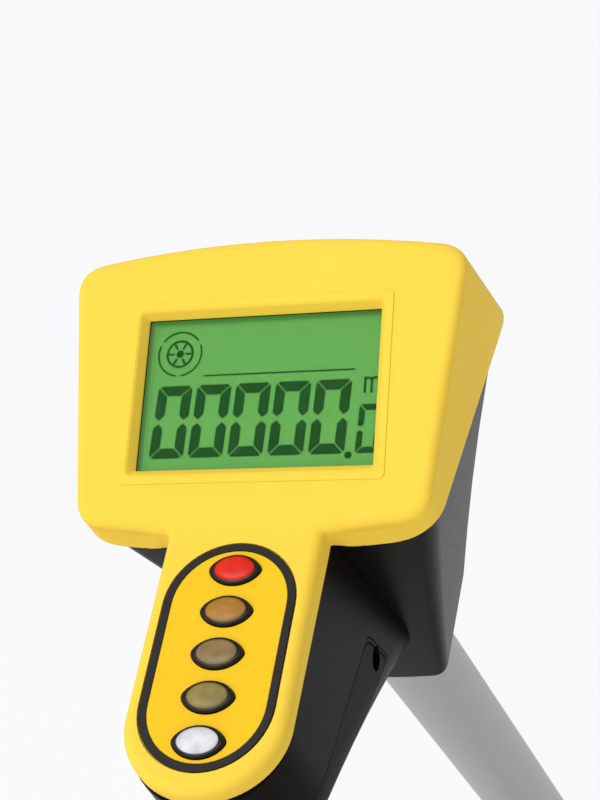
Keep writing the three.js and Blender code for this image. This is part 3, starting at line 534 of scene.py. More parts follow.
def turned(profile, segments=72):
    """A closed (radius, height) profile turned about Z. Points on the axis become poles."""
    mesh = bmesh.new()
    rings = []
    for radius, height in profile:
        if radius < 1e-6:
            rings.append([mesh.verts.new((0, 0, height))] * segments)
            continue
        ring = []
        for index in range(segments):
            angle = 2 * math.pi * index / segments
            ring.append(mesh.verts.new((radius * math.cos(angle), radius * math.sin(angle), height)))
        rings.append(ring)
    for index, ring in enumerate(rings):
        other = rings[(index + 1) % len(rings)]
        for step in range(segments):
            after = (step + 1) % segments
            corners = list(dict.fromkeys((ring[step], ring[after], other[after], other[step])))
            if len(corners) > 2:
                mesh.faces.new(corners)
    bmesh.ops.recalc_face_normals(mesh, faces=mesh.faces)
    return mesh


def rod(radius, low, high, edge=0.1, segments=48):
    """A rod along Z with rounded rims."""
    return prism(arc(0, 0, radius, 0, 360 * (1 - 1 / segments), segments - 1), low, high, edge)


def cross_rod(radius, low, high, edge=0.1, segments=48, y=0.0, z=0.0):
    """A rod along X from low to high."""
    return placed(rod(radius, low, high, edge, segments), shift(0, y, z) @ ABOUT_X)


def tube(outer, inner, low, high, edge=0.3, segments=96):
    corners = ((inner, low), (outer, low), (outer, high), (inner, high))
    return turned(lathe_profile(corners, edge, 3), segments)


def block(low, high, edge=0.5):
    """A box between two corners, with its upright edges and both rims rounded."""
    middle = (Vector(low) + Vector(high)) / 2
    half = (Vector(high) - Vector(low)) / 2
    radius = min(edge * 1.4, half.x * 0.9, half.y * 0.9)
    rim = min(edge, radius * 0.7, half.z * 0.9)
    return prism(rectangle(half.x, half.y, radius, 3, middle.x, middle.y), low[2], high[2], rim)


def placed(mesh, matrix):
    mesh.transform(matrix)
    return mesh


def along(start, end):
    """The matrix that carries the Z axis onto the line from start to end."""
    run = Vector(end) - Vector(start)
    return Matrix.Translation(start) @ run.to_track_quat("Z", "Y").to_matrix().to_4x4()


def rod_between(radius, start, end, edge=0.1, segments=32):
    length = (Vector(end) - Vector(start)).length
    return placed(rod(radius, 0, length, edge, segments), along(start, end))


def as_data(name, mesh):
    """Ends the work on a mesh and keeps it under a name."""
    data = bpy.data.meshes.new(name)
    mesh.to_mesh(data)
    mesh.free()
    return data


def add_object(name, data):
    made = bpy.data.objects.new(name, data)
    bpy.context.scene.collection.objects.link(made)
    return made


def together(*meshes):
    """Several closed shells as one mesh."""
    whole = bmesh.new()
    for mesh in meshes:
        part = as_data("part", mesh)
        whole.from_mesh(part)
        bpy.data.meshes.remove(part)
    return whole


def boolean(mesh, tool, operation="DIFFERENCE"):
    """One solid cut by, joined with or kept inside another, without any stray sliver it leaves."""
    target = add_object("target", as_data("target", mesh))
    cutter = add_object("cutter", as_data("cutter", tool))
    modifier = target.modifiers.new("boolean", "BOOLEAN")
    modifier.operation = operation
    modifier.object = cutter
    modifier.solver = "MANIFOLD"
    evaluated = target.evaluated_get(bpy.context.evaluated_depsgraph_get())
    result = bmesh.new()
    result.from_mesh(evaluated.to_mesh())
    if not result.faces:
        raise ValueError(f"nothing is left after this {operation}")
    for made in (target, cutter):
        data = made.data
        bpy.data.objects.remove(made)
        bpy.data.meshes.remove(data)
    bmesh.ops.remove_doubles(result, verts=result.verts, dist=1e-4)
    alone = [face for face in result.faces if all(edge.is_boundary for edge in face.edges)]
    bmesh.ops.delete(result, geom=alone, context="FACES")
    return result


def cut(mesh, *tools):
    for tool in tools:
        mesh = boolean(mesh, tool)
    return mesh


def join(mesh, *tools):
    for tool in tools:
        mesh = boolean(mesh, tool, "UNION")
    return mesh


def piece(name, mesh, place, material, body, nodes=(), slot=None, bevel=0.0, sharp=32.0, extra=()):
    """Makes one piece of the object. Any faces with a material index of 1 or more use extra."""
    data = as_data(name, placed(mesh, place))
    for entry in (material, *extra):
        data.materials.append(MATERIALS[entry])
    data.shade_smooth()
    data.set_sharp_from_angle(angle=math.radians(sharp))
    made = add_object(name, data)
    if bevel:
        soften = made.modifiers.new("soften", "BEVEL")
        soften.width = bevel / 1000
        soften.segments = 2
        soften.limit_method = "ANGLE"
        soften.angle_limit = math.radians(40)
    weighted = made.modifiers.new("weighted", "WEIGHTED_NORMAL")
    weighted.keep_sharp = True
    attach(made, body)
    if nodes:
        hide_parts(*nodes)
    return made


def show(node, mesh, place, material, body, **finish):
    """Makes the piece that stands for one CAD node and is named after it."""
    return piece(f"{node}_shown", mesh, place, material, body, [node], **finish)


# ---- Front cover: drawn flat, then bent along the line where the key plate leaves the face ------

HINGE_Y = PLATE_ORIGIN.y + PLATE_ORIGIN.z / math.tan(math.radians(PLATE_BEND))
HINGE_DOWN = -PLATE_ORIGIN.z / math.sin(math.radians(PLATE_BEND))
BEND_REACH = 3.5
BEND_FADE = (24.0, 31.0)
COVER_EDGE = 2.8
INNER_FILLET = 1.3
RAISED = 0.35
LIP_SPREAD = 0.8
LIP_DROP = 2.0


def flat_y(down):
    """Where a point this far down the key plate lies while the cover is flat."""
    return HINGE_Y + HINGE_DOWN - down


def cover_outline(inset):
    """Face and key plate in one outline, with a small fillet in each inner corner."""
    half = PLATE_HALF_WIDTH - inset
    form = inset_form(FACE, inset)
    left = crowned_corner(form, 12)
    fillet = INNER_FILLET + inset
    start = Vector((-half - fillet, bottom_edge(form, half + fillet)))
    along = []
    for step in range(1, 9):
        x = left[-1].x + (start.x - left[-1].x) * step / 9
        along.append(Vector((x, bottom_edge(form, x))))
    corner = Vector((-half, start.y + 0.1))
    inner = along + curve(start, corner, Vector((-half, corner.y - fillet)), 5)
    end = flat_y(PLATE_STRAIGHT)
    drop = (PLATE_LENGTH - PLATE_STRAIGHT - inset) / half
    tongue = arc(0, end, half, 180, 360, 40, drop)
    side = left + inner
    return distinct(crowned_top(form, 12) + side + tongue + mirrored(side))


def cover_back(y):
    """Depth of the cover's back edge behind its front, at this flat height."""
    return SEAM_OFFSET + SEAM_SLOPE * max(y, (PLATE_THICKNESS + SEAM_OFFSET) / -SEAM_SLOPE)


def smooth(value, start, end):
    """0 at start, 1 at end, with a soft run between them."""
    share = min(max((value - start) / (end - start), 0.0), 1.0)
    return share * share * (3 - 2 * share)


def cover_flare(point, out):
    """How far the cover spreads towards the seam at a point of its outline.

    It spreads a little all round, more under the face, and not at all along the key plate.
    """
    onto_face = smooth(point.y, -42.0, -38.6)
    underside = max(-out.normalized().y, 0.0) ** 2
    beside_plate = smooth(abs(point.x), 23.0, 31.0)
    before_corner = smooth(abs(point.x), 52.0, 37.0)
    drop = LIP_DROP * underside * beside_plate * before_corner
    return onto_face * (LIP_SPREAD * out + Vector((0, -drop)))


def cover_body():
    rings = []
    for inwards, back in quarter(6):
        rings.append(at_height(cover_outline(COVER_EDGE * inwards), -COVER_EDGE * back))
    outline = cover_outline(0)
    outwards = [grown_point - point for grown_point, point in zip(grown(outline, 1), outline)]
    for share in (0.25, 0.5, 0.75, 0.97, 1.0):
        lip = 0.3 if share == 1.0 else 0.0
        ring = []
        for point, out in zip(outline, outwards):
            depth = -COVER_EDGE + (cover_back(point.y) + COVER_EDGE) * share
            moved = point + cover_flare(point, out) * share - out * lip
            ring.append(Vector((moved.x, moved.y, depth)))
        rings.append(ring)
    return loft(rings)


def window_frustum():
    """The window's opening, which widens to the front through a bevel."""
    levels = ((2.6, 0.6), (1.72, 0.05), (1.5, -0.1), (0.12, -1.9), (0.0, -2.1), (0.0, -6.0))
    rings = []
    for grow, z in levels:
        half_x, half_y = WINDOW_HALF[0] + grow, WINDOW_HALF[1] + grow
        rings.append(at_height(rectangle(half_x, half_y, 0.35 + 0.7 * grow, 5), z))
    return loft(rings)


def bend_weight(x, y):
    """1 where the cover follows the key plate's bend, 0 where it stays flat."""
    if y < -45:
        return 1.0
    return smooth(abs(x), BEND_FADE[1], BEND_FADE[0])


def bent(point):
    """Carries a point of the flat cover round the bend above the key plate."""
    start_y = HINGE_Y + BEND_REACH
    if point.y >= start_y:
        return point
    full = math.radians(PLATE_BEND)
    radius = 2 * BEND_REACH / full
    angle = min(start_y - point.y, 2 * BEND_REACH) / radius
    rest = max(HINGE_Y - BEND_REACH - point.y, 0.0)
    y = start_y - radius * math.sin(angle) - rest * math.cos(angle) + point.z * math.sin(angle)
    z = radius * (1 - math.cos(angle)) + rest * math.sin(angle) + point.z * math.cos(angle)
    return point.lerp(Vector((point.x, y, z)), bend_weight(point.x, point.y))


def slice_faces(mesh, axis, places):
    """Cuts extra edges across a mesh, so that large flat faces can bend."""
    for place in places:
        normal = Vector((0, 0, 0))
        normal[axis] = 1
        everything = list(mesh.verts) + list(mesh.edges) + list(mesh.faces)
        bmesh.ops.bisect_plane(mesh, geom=everything, dist=1e-4, plane_co=normal * place, plane_no=normal)


def key_place(index):
    return KEY_FIRST - KEY_PITCH * index


def make_front_cover():
    mesh = cover_body()
    raised = prism(rectangle(*FRAME_HALF, 1.6, 5), -1.0, RAISED, 0.25, 3)
    mesh = join(mesh, raised)
    cavity = prism(crowned_outline(FACE, WALL), -60, -WALL, 0.5)
    mesh = cut(mesh, cavity, window_frustum())
    mesh = cut(mesh, prism(at_y(track_outline(), flat_y(-TRACK_CENTRE)), -TRACK_DEPTH, 3, 0.15))
    for index in range(KEY_COUNT):
        hole = at_y(key_outline(GAP), flat_y(-key_place(index)))
        mesh = cut(mesh, prism(hole, -20, 3, 0.1))
    bends = 12
    slice_faces(mesh, 1, [HINGE_Y + BEND_REACH * (2 * step / bends - 1) for step in range(bends + 1)])
    fade = range(int(BEND_FADE[0]), int(BEND_FADE[1]) + 1)
    slice_faces(mesh, 0, [side * x for side in (-1, 1) for x in fade])
    for vertex in mesh.verts:
        vertex.co = bent(vertex.co)
    piece("cover_front", mesh, HEAD, "yellow_plastic", "handle", ["front_cover"], sharp=28)


# ---- Rear housing, rear cover and battery bay ---------------------------------------------------

SPLIT_GAP = 0.25
BAY_WALL = 1.6
FAR = 200.0

# A screw head is (radius, height), a recess (radius, depth) and a pocket (radius, start).
POLE_SCREW_POCKET = (5.2, 18.4)
COVER_SCREW_HEAD = (3.0, 1.6)
COVER_SCREW_RECESS = (3.4, 1.8)
SHANK_RADIUS = 1.5

DOOR_TOP = -0.2
DOOR_RIBS = 5
DOOR_RIB_PITCH = 1.3
CELL_SLEEVE_START = 0.55
CELL_BAND = 12.0


def mix(first, second, share):
    return first * (1 - share) + second * share


def housing_ring(share, inset):
    """A ring of the black housing: share 0 is the seam with the cover, share 1 the pole socket."""
    form = {key: mix(SEAM_FORM[key], SOCKET[key], share) for key in FACE}
    offset = mix(SEAM_OFFSET - GAP, SOCKET_OFFSET, share)
    slope = mix(SEAM_SLOPE, SOCKET_SLOPE, share)
    lip = HOUSING_INSET * (1 - max(share, 0.0))
    return [Vector((p.x, p.y, offset + slope * p.y)) for p in crowned_outline(form, inset + lip)]


def housing_outer():
    rings = []
    for inwards, back in quarter(3):
        rings.append(housing_ring(SEAM_ROUND * back / HOUSING_LENGTH, SEAM_ROUND * inwards))
    rings += [housing_ring(share, 0) for share in (0.2, 0.4, 0.6, 0.8)]
    for to_end, inwards in quarter(5):
        rings.append(housing_ring(1 - SOCKET_ROUND * to_end / HOUSING_LENGTH, SOCKET_ROUND * inwards))
    return loft(rings)


def housing_cavity():
    return loft([housing_ring(-0.1, WALL), housing_ring(0.8, WALL)])


def split_slab(low, high):
    """A slab above or below the line where the rear cover meets the housing."""
    return placed(block((-100, low, -260), (100, high, 140), 0.1), SPLIT_IN_HEAD)


def pole_rod(radius, near, far):
    """A rod down the pole's line, between two distances from where that line enters the face."""
    start, end = POLE_ENTRY + POLE_DOWN * near, POLE_ENTRY + POLE_DOWN * far
    return rod_between(radius, start, end, segments=64)


def pole_screw_rod(radius, near, far):
    """A rod square to the pole, where the screw pins the tube in its socket."""
    low, high = reach("pole_screw", HEAD)
    centre = POLE_ENTRY + POLE_DOWN * ((POLE_ENTRY - (low + high) / 2).dot(POLE_DOWN) * -1)
    out = Vector((0, -math.cos(TILT), math.sin(TILT)))
    return rod_between(radius, centre + out * near, centre + out * far)


def make_rear_housing():
    mesh = boolean(housing_outer(), split_slab(-FAR, -SPLIT_GAP), "INTERSECT")
    pocket, start = POLE_SCREW_POCKET
    mesh = cut(
        mesh, housing_cavity(), pole_rod(TUBE_RADIUS + GAP, 60, 170), pole_screw_rod(pocket, start, 40),
    )
    piece("housing_rear", mesh, HEAD, "black_plastic", "handle", ["rear_housing"], bevel=0.45)


def cover_screws():
    """Each cover screw's node, its lowest and its highest corner on the slope."""
    return [(f"cover_screw_{number}", *reach(f"cover_screw_{number}", SLOPE)) for number in (1, 2, 3, 4)]


def on_slope(radius, start, end, low, high):
    """A rod that stands on the slope, midway between two corners."""
    x, z = (low.x + high.x) / 2, (low.z + high.z) / 2
    return rod_between(radius, (x, start, z), (x, end, z))


def make_rear_cover():
    mesh = boolean(housing_outer(), split_slab(SPLIT_GAP, FAR), "INTERSECT")
    mesh = cut(mesh, housing_cavity())
    end = BAY_START - BAY_LENGTH
    outer = block(
        (-BAY_HALF_WIDTH - BAY_WALL, -BAY_DEPTH - WALL, end - BAY_WALL),
        (BAY_HALF_WIDTH + BAY_WALL, -2.0, BAY_START + BAY_WALL),
    )
    pocket = block((-BAY_HALF_WIDTH, -BAY_DEPTH - 0.6, end), (BAY_HALF_WIDTH, 12, BAY_START), 0.3)
    mesh = cut(join(mesh, placed(outer, SLOPE_IN_HEAD)), placed(pocket, SLOPE_IN_HEAD))
    radius, depth = COVER_SCREW_RECESS
    for _, low, high in cover_screws():
        recess = on_slope(radius, high.y - depth, 20, low, high)
        mesh = cut(mesh, placed(recess, SLOPE_IN_HEAD))
    piece("cover_rear", mesh, HEAD, "black_plastic", "handle", ["rear_cover"], bevel=0.4)


def screw_head(radius, height, edge=0.5):
    """A pan head with a cross recess. It stands on z = 0."""
    mesh = turned(lathe_profile(((0, 0), (radius, 0), (radius, height), (0, height)), edge), 40)
    arm = radius * 0.55
    slot = radius * 0.13
    depth = height * 0.45
    for half_x, half_y in ((arm, slot), (slot, arm)):
        mesh = cut(mesh, block((-half_x, -half_y, height - depth), (half_x, half_y, height + 1), 0.05))
    return mesh


def make_cover_screws():
    radius, height = COVER_SCREW_HEAD
    for name, low, high in cover_screws():
        x, z = (low.x + high.x) / 2, (low.z + high.z) / 2
        head = placed(screw_head(radius, height), shift(x, high.y - height, z) @ turn(-90, "X"))
        shank = on_slope(SHANK_RADIUS, low.y, high.y - height + 0.1, low, high)
        show(name, together(head, shank), SLOPE, "zinc_steel", "handle")


def make_battery_door():
    low, high = reach("battery_door", SLOPE)
    outline = rectangle(high.x, (high.z - low.z) / 2, 1.5, 5, 0, (high.z + low.z) / 2)
    lay = turn(90, "X")
    door = placed(prism(outline, -DOOR_TOP, -low.y, 0.35), lay)
    latch_z = low.z + 5
    for rib in range(DOOR_RIBS):
        z = latch_z + (rib - DOOR_RIBS // 2) * DOOR_RIB_PITCH
        ridge = prism(rectangle(7, 0.45, 0.4, 4, 0, z), -high.y, 0.5 - DOOR_TOP, 0.2)
        door = together(door, placed(ridge, lay))
    piece("door", door, SLOPE, "black_plastic", "battery_door", ["battery_door"])


def make_cells():
    """Round cells with a sleeve, a bare end and a small pole."""
    for name in ("cell_1", "cell_2"):
        low, high = reach(name, SLOPE)
        radius = (high.y - low.y) / 2
        length = high.x - low.x
        profile = lathe_profile((
            (0, 0), (radius - 0.4, 0), (radius - 0.4, 0.5), (radius, 0.6), (radius, length - 2.2),
            (radius - 0.5, length - 1.6), (2.7, length - 1.5), (2.7, length), (0, length),
        ), 0.3, 3)
        mesh = turned(profile, 48)
        for face in mesh.faces:
            height = face.calc_center_median().z
            if height < CELL_SLEEVE_START or height > length - 1.7:
                face.material_index = 1
            elif height > length - CELL_BAND:
                face.material_index = 2
        middle = (low + high) / 2
        place = shift(low.x, middle.y, middle.z) @ ABOUT_X
        mesh = placed(mesh, place)
        show(name, mesh, SLOPE, "cell_sleeve", "handle", extra=("zinc_steel", "key_amber"))


# ---- Pistol grip --------------------------------------------------------------------------------

GRIP_BACK_ROUND = 17.0
PAD_RECESS = 1.2
PAD_CORNERS = ((7, -48), (2.5, -68), (62, -44.5), (66, -30))
PAD_MIDDLE = Vector((-48.0, -34.0))
GRIP_SCREW_AT = (-9.0, -58.0)
GRIP_SCREW_HEAD = (3.2, 2.3)


def grip_depth(down):
    """The grip's depth behind the key plate, which shrinks towards its butt."""
    return 87 - 0.72 * down + 0.0016 * down * down


def grip_half_width(down):
    share = max(0.0, down - PLATE_STRAIGHT) / (PLATE_LENGTH + 1 - PLATE_STRAIGHT)
    return (PLATE_HALF_WIDTH - GAP) * math.sqrt(1 - share * share)


def grip_ring(down, inset, front):
    """One level of the grip in the key plate's frame: square towards the plate, round behind."""
    half = grip_half_width(down) - inset
    back = inset - grip_depth(down)
    size = min(half, GRIP_BACK_ROUND) * 0.98
    edge = min(0.8, half * 0.3)
    left = curve(Vector((-half, back + size)), Vector((-half, back)), Vector((size - half, back)), 12)
    front_right = curve(
        Vector((half, front - edge)), Vector((half, front)), Vector((half - edge, front)), 3,
    )
    outline = front_right + mirrored(front_right) + left + mirrored(left)
    return [Vector((point.x, -down, point.y)) for point in outline]


def grip_loft(inset, front, first=-30.0, last=76.5):
    levels = [first + (PLATE_STRAIGHT - first) * step / 8 for step in range(9)]
    for step in range(1, 11):
        levels.append(PLATE_STRAIGHT + (last - PLATE_STRAIGHT) * math.sin(math.pi / 2 * step / 10))
    return placed(loft([grip_ring(down, inset, front) for down in levels]), PLATE_IN_HEAD)


def pad_prism(side, shrink, reach_out=40.0):
    """The outline of a side pad, extruded out through one side of the grip."""
    corners = []
    for down, depth in PAD_CORNERS:
        corner = Vector((depth, -down))
        corners.append(corner + (PAD_MIDDLE - corner).normalized() * shrink)
    outline = rounded(corners, 3.0, 5)
    rings = [[Vector((side * out, p.y, p.x)) for p in outline] for out in (2, reach_out)]
    return placed(loft(rings), PLATE_IN_HEAD)


def grip_screw_rod(radius, start, end):
    start, end = (start, *GRIP_SCREW_AT), (end, *GRIP_SCREW_AT)
    return placed(rod_between(radius, start, end), PLATE_IN_HEAD)


def make_grip():
    front = -PLATE_THICKNESS - GAP
    mesh = cut(grip_loft(0, front), grip_loft(WALL, 10, -40.0, 73.5))
    mesh = join(mesh, grip_screw_rod(5, 6, 20))
    for side in (-1, 1):
        outside = cut(pad_prism(side, 0), grip_loft(PAD_RECESS, front))
        mesh = cut(mesh, outside)
    mesh = cut(mesh, grip_screw_rod(3.6, 14, 25))
    room = loft([housing_ring(-0.1, 0), housing_ring(1, 0)])
    mesh = cut(mesh, placed(room.copy(), shift(0, -GAP, 0)), room)
    wedge = loft([at_height(crowned_outline(FACE), 0), wedge_back()])
    mesh = cut(mesh, placed(wedge.copy(), shift(0, -GAP, 0)), placed(wedge, shift(0, 0, -GAP)))
    piece("grip", mesh, HEAD, "black_plastic", "handle", ["grip_shell"], bevel=0.3)
    for name, side in SIDES:
        make_grip_pad(name, side, front)


def wedge_back():
    """The cover's slanted back edge, one point for each point of the face's outline."""
    return [Vector((p.x, p.y, SEAM_OFFSET + SEAM_SLOPE * p.y)) for p in crowned_outline(SEAM_FORM)]


def make_grip_pad(name, side, front):
    """A smooth pad with a fine groove along its border."""
    skin = cut(grip_loft(0, front), grip_loft(PAD_RECESS - 0.1, front))
    pad = boolean(skin, pad_prism(side, 0.4), "INTERSECT")
    border = cut(pad_prism(side, 1.6), pad_prism(side, 2.3))
    pad = cut(pad, cut(border, grip_loft(0.45, front)))
    if side > 0:
        pad = cut(pad, grip_screw_rod(3.5, 5, 25))
    piece(f"pad_{name}", pad, HEAD, "black_rubber", "handle", [f"grip_pad_{name}"], bevel=0.2)


def make_grip_screw():
    low, high = reach("grip_screw", PLATE)
    radius, height = GRIP_SCREW_HEAD
    under = high.x - height
    head = placed(screw_head(radius, height), shift(under, *GRIP_SCREW_AT) @ ABOUT_X)
    start, end = (low.x, *GRIP_SCREW_AT), (under + 0.1, *GRIP_SCREW_AT)
    shank = rod_between(SHANK_RADIUS, start, end)
    show("grip_screw", together(head, shank), PLATE, "zinc_steel", "handle")


# ---- Screen -------------------------------------------------------------------------------------

DIGIT_COUNT = 5
DIGIT_START = -30.7
DIGIT_PITCH = 11.25
DIGIT_SIZE = (9.9, 20.4)
DIGIT_STROKE = 2.85
BASELINE = -17.3
SLANT = 0.055
SMALL_DIGIT = (27.0, 6.4, 13.3, 1.7)
WHEEL_SIGN = (-24.3, 12.25, 6.5)
METRE_SIGN = (28.5, -0.95, 4.3, 4.5, 0.62)
DECIMAL_POINT = (25.3, -17.7, 1.0)
RULE = (-16.9, 5.5, 25.9, 5.95)
EDGE_STRIP_END = -31.9
INK_LOW = LCD_PLANE + 0.02
INK_HIGH = LCD_PLANE + 0.06
SHADE_BAND_OPENING_HALF = (33.55, 21.8)


def ink(corners):
    """One flat mark on the display."""
    outline = [Vector(corner) for corner in corners]
    area = sum(a.x * b.y - b.x * a.y for a, b in zip(outline, outline[1:] + outline[:1]))
    if area < 0:
        outline.reverse()
    return loft([at_height(outline, INK_LOW), at_height(outline, INK_HIGH)])


def bar(x0, y0, x1, y1):
    return ink(((x0, y0), (x1, y0), (x1, y1), (x0, y1)))


def zero_segments(left, width, height, stroke):
    """The six lit segments of a slanted zero: cut corners, mitres and pointed tips halfway up."""
    corner = stroke * 0.36
    slit = 0.11
    middle = height / 2
    top = (
        (corner / 2 + slit, height - corner / 2 + slit), (corner, height),
        (width - corner, height), (width - corner / 2 - slit, height - corner / 2 + slit),
        (width - stroke - 2 * slit, height - stroke), (stroke + 2 * slit, height - stroke),
    )
    upper = (
        (corner / 2 - slit, height - corner / 2 - slit), (stroke, height - stroke - 2 * slit),
        (stroke, middle + stroke * 0.7), (stroke * 0.5, middle + 4 * slit),
        (0, middle + stroke * 0.6), (0, height - corner),
    )
    slanted = []
    for segment in (top, upper, [(width - x, y) for x, y in upper]):
        for points in (segment, [(x, height - y) for x, y in segment]):
            slanted.append(ink([(left + x + SLANT * y, BASELINE + y) for x, y in points]))
    return slanted


def ring_part(x, y, inner, outer, start, stop):
    return ink(arc(x, y, outer, start, stop, 16) + arc(x, y, inner, stop, start, 16))


def wheel_sign(x, y, radius):
    """A small sign of a spoked wheel inside a broken ring."""
    marks = [ring_part(x, y, radius - 0.5, radius, start + 6, start + 114) for start in (30, 150, 270)]
    marks.append(ring_part(x, y, radius * 0.52, radius * 0.62, 0, 360 - 0.1))
    marks.append(ink(arc(x, y, radius * 0.17, 0, 345, 23)))
    for index in range(6):
        direction = Vector((math.cos(math.pi / 3 * index), math.sin(math.pi / 3 * index)))
        across = Vector((-direction.y, direction.x)) * 0.32
        centre = Vector((x, y))
        start, end = centre + direction * radius * 0.24, centre + direction * radius * 0.5
        marks.append(ink((start - across, end - across, end + across, start + across)))
    return marks


def metre_sign(x, y, width, height, stroke):
    """The unit sign m: three stems under two small arches."""
    step = (width - stroke) / 2
    radius = (step + stroke) / 2
    marks = [bar(x + index * step, y, x + index * step + stroke, y + height - radius) for index in range(3)]
    marks.append(bar(x, y, x + stroke, y + height))
    for index in range(2):
        centre = x + radius + index * step
        marks.append(ring_part(centre, y + height - radius, radius - stroke, radius, 0, 180))
    return marks


def make_screen():
    low, high = reach("lcd_panel", HEAD)
    glass = block((EDGE_STRIP_END, low.y, low.z), high, 0.1)
    border = block(low, (EDGE_STRIP_END, high.y, high.z + 0.02), 0.1)
    for face in border.faces:
        face.material_index = 1
    piece(
        "lcd", together(glass, border), HEAD, "lcd_glass", "handle", ["lcd_panel"], extra=("lcd_edge",),
    )
    marks = []
    for index in range(DIGIT_COUNT):
        marks += zero_segments(DIGIT_START + DIGIT_PITCH * index, *DIGIT_SIZE, DIGIT_STROKE)
    marks += zero_segments(*SMALL_DIGIT)
    marks += wheel_sign(*WHEEL_SIGN)
    marks += metre_sign(*METRE_SIGN)
    marks.append(bar(*RULE))
    marks.append(ink(arc(*DECIMAL_POINT, 0, 345, 23)))
    piece("lcd_marks", together(*marks), HEAD, "lcd_ink", "handle", slot="lcd_glass")
    low, high = reach("screen_lens", HEAD)
    lens = prism(rectangle(high.x, high.y, 2.0, 5), low.z, high.z, 0.2)
    piece("lens", lens, HEAD, "clear_lens", "handle", ["screen_lens"])
    # A thin black band just under the lens's border is painted shade: through the window it shows as a dark line,
    # the shaded gap along the window's edges.
    mask = prism(rectangle(high.x - 0.2, high.y - 0.2, 2.0, 5), low.z - 0.06, low.z - 0.02, 0.01, 1)
    clear = prism(rectangle(*SHADE_BAND_OPENING_HALF, 0.6, 3), low.z - 2, low.z + 2, 0.1)
    piece("lens_edge_painted_shade", cut(mask, clear), HEAD, "smooth_black", "handle", slot="clear_lens")


# ---- Keypad -------------------------------------------------------------------------------------

RING_WIDTH = 2.2
KEY_EYE = (5.3, 3.45)
KEY_EYE_POINT = 1.05
KEY_CROWN = 0.95
KEY_DOME = 0.75
KEY_ROUND = 0.5


def make_keypad():
    inner = GAP + RING_WIDTH
    low = -TRACK_DEPTH + 0.1
    ring = prism(at_y(track_outline(GAP), TRACK_CENTRE), low, 0.05, 0.25)
    ring = cut(ring, prism(at_y(track_outline(inner - 0.1), TRACK_CENTRE), -4, 4, 0.1))
    for face in ring.faces:
        face.material_index = 1
    pad = prism(at_y(track_outline(inner), TRACK_CENTRE), low, -0.12, 0.12)
    for index in range(KEY_COUNT):
        pad = cut(pad, prism(at_y(key_outline(GAP), key_place(index)), -8, 8, 0.1))
    piece(
        "keypad", together(ring, pad), PLATE, "keypad_yellow", "handle", ["keypad_overlay"],
        extra=("charcoal",),
    )


def make_key(index):
    """A key: a straight stem, a dark rim and a domed centre."""
    name = f"key_{index + 1}"
    low, high = reach(name, PLATE)
    place_y = key_place(index)
    rim_top = high.z - KEY_CROWN
    levels = [(0.0, low.z)]
    for to_top, inwards in quarter(3):
        levels.append((-KEY_ROUND * inwards, rim_top - KEY_ROUND * to_top))
    rings = [at_height(at_y(key_outline(grow), place_y), z) for grow, z in levels]
    half_width, half_height = KEY_EYE
    dome_foot = eye(half_width + 0.1, half_height + 0.1, KEY_EYE_POINT)
    rings.append(at_height(at_y(dome_foot, place_y), rim_top + 0.1))
    rim_rings = len(rings)
    for step in range(8):
        angle = math.pi / 2 * step / 8
        size = math.cos(angle) ** 0.8
        dome = at_y(eye(half_width * size, half_height * size, KEY_EYE_POINT), place_y)
        rings.append(at_height(dome, rim_top - 0.1 + KEY_DOME * math.sin(angle)))
    mesh = loft(rings)
    per_ring = len(rings[0])
    for face in mesh.faces:
        level = min(vertex.index for vertex in face.verts) // per_ring
        face.material_index = 1 if level < rim_rings - 1 else 0
    colour = list(KEY_COLOURS)[index]
    piece(f"{name}_cap", mesh, PLATE, colour, name, [name], extra=("key_rim",), sharp=50)


# ---- Pole and clamp -----------------------------------------------------------------------------

TUBE_WALL = 1.2
EAR_HALF_WIDTH = 7.5
EAR_HALF_HEIGHT = 11.0
BOLT_Y = 24.0
BOLT_ROOM = 2.9
BOLT_EYE_RADIUS = 4.2
LEVER_X = 13.0
LEVER_EYE_RADIUS = 4.9
LEVER_PIN_RADIUS = 2.0
LEVER_PIN_ROOM = 2.3


def make_tubes():
    for name, body in (("upper_tube", "handle"), ("lower_tube", "lower_pole")):
        low, high = reach(name, POLE)
        mesh = tube(high.x, high.x - TUBE_WALL, low.z, high.z)
        show(name, mesh, POLE, "grey_aluminium", body, sharp=40)


def groove(radius, depth, z, half):
    """A ring-shaped cutter for a shallow groove round the pole."""
    inner, outer = radius - depth, radius + 3
    return turned([(inner, z - half), (outer, z - half), (outer, z + half), (inner, z + half)], 96)


def tube_room(name, start, end):
    """A cutter that leaves room for one of the pole's tubes."""
    return rod(reach(name, POLE)[1].x + GAP, start, end, 0.1, 96)


def make_clamp_collar():
    low, high = reach("clamp_collar", POLE)
    radius = high.x
    tube_end = reach("upper_tube", POLE)[0].z
    mesh = rod(radius, low.z, high.z, 1.4, 96)
    ear = reach("clamp_bolt", POLE)
    bolt_z = (ear[0].z + ear[1].z) / 2
    bolt_low, bolt_high = bolt_z - EAR_HALF_HEIGHT, bolt_z + EAR_HALF_HEIGHT
    ears = block((-EAR_HALF_WIDTH, 8, bolt_low), (EAR_HALF_WIDTH, high.y, bolt_high), 1.5)
    mesh = join(mesh, ears)
    mesh = cut(
        mesh,
        tube_room("lower_tube", low.z - 5, high.z + 5),
        tube_room("upper_tube", tube_end - GAP, high.z + 5),
        block((-1, 5, low.z - 10), (1, 45, high.z + 10), 0.1),
        cross_rod(BOLT_ROOM, -12, 12, 0.1, 32, BOLT_Y, bolt_z),
    )
    clear = EAR_HALF_WIDTH + 1
    for z in (low.z + 4.5, high.z - 3.0):
        at_ears = block((-clear, 8, z - 3), (clear, 40, z + 3), 0.1)
        mesh = cut(mesh, cut(groove(radius, 0.7, z, 0.6), at_ears))
    piece("collar", mesh, POLE, "black_plastic", "handle", ["clamp_collar"], bevel=0.4)


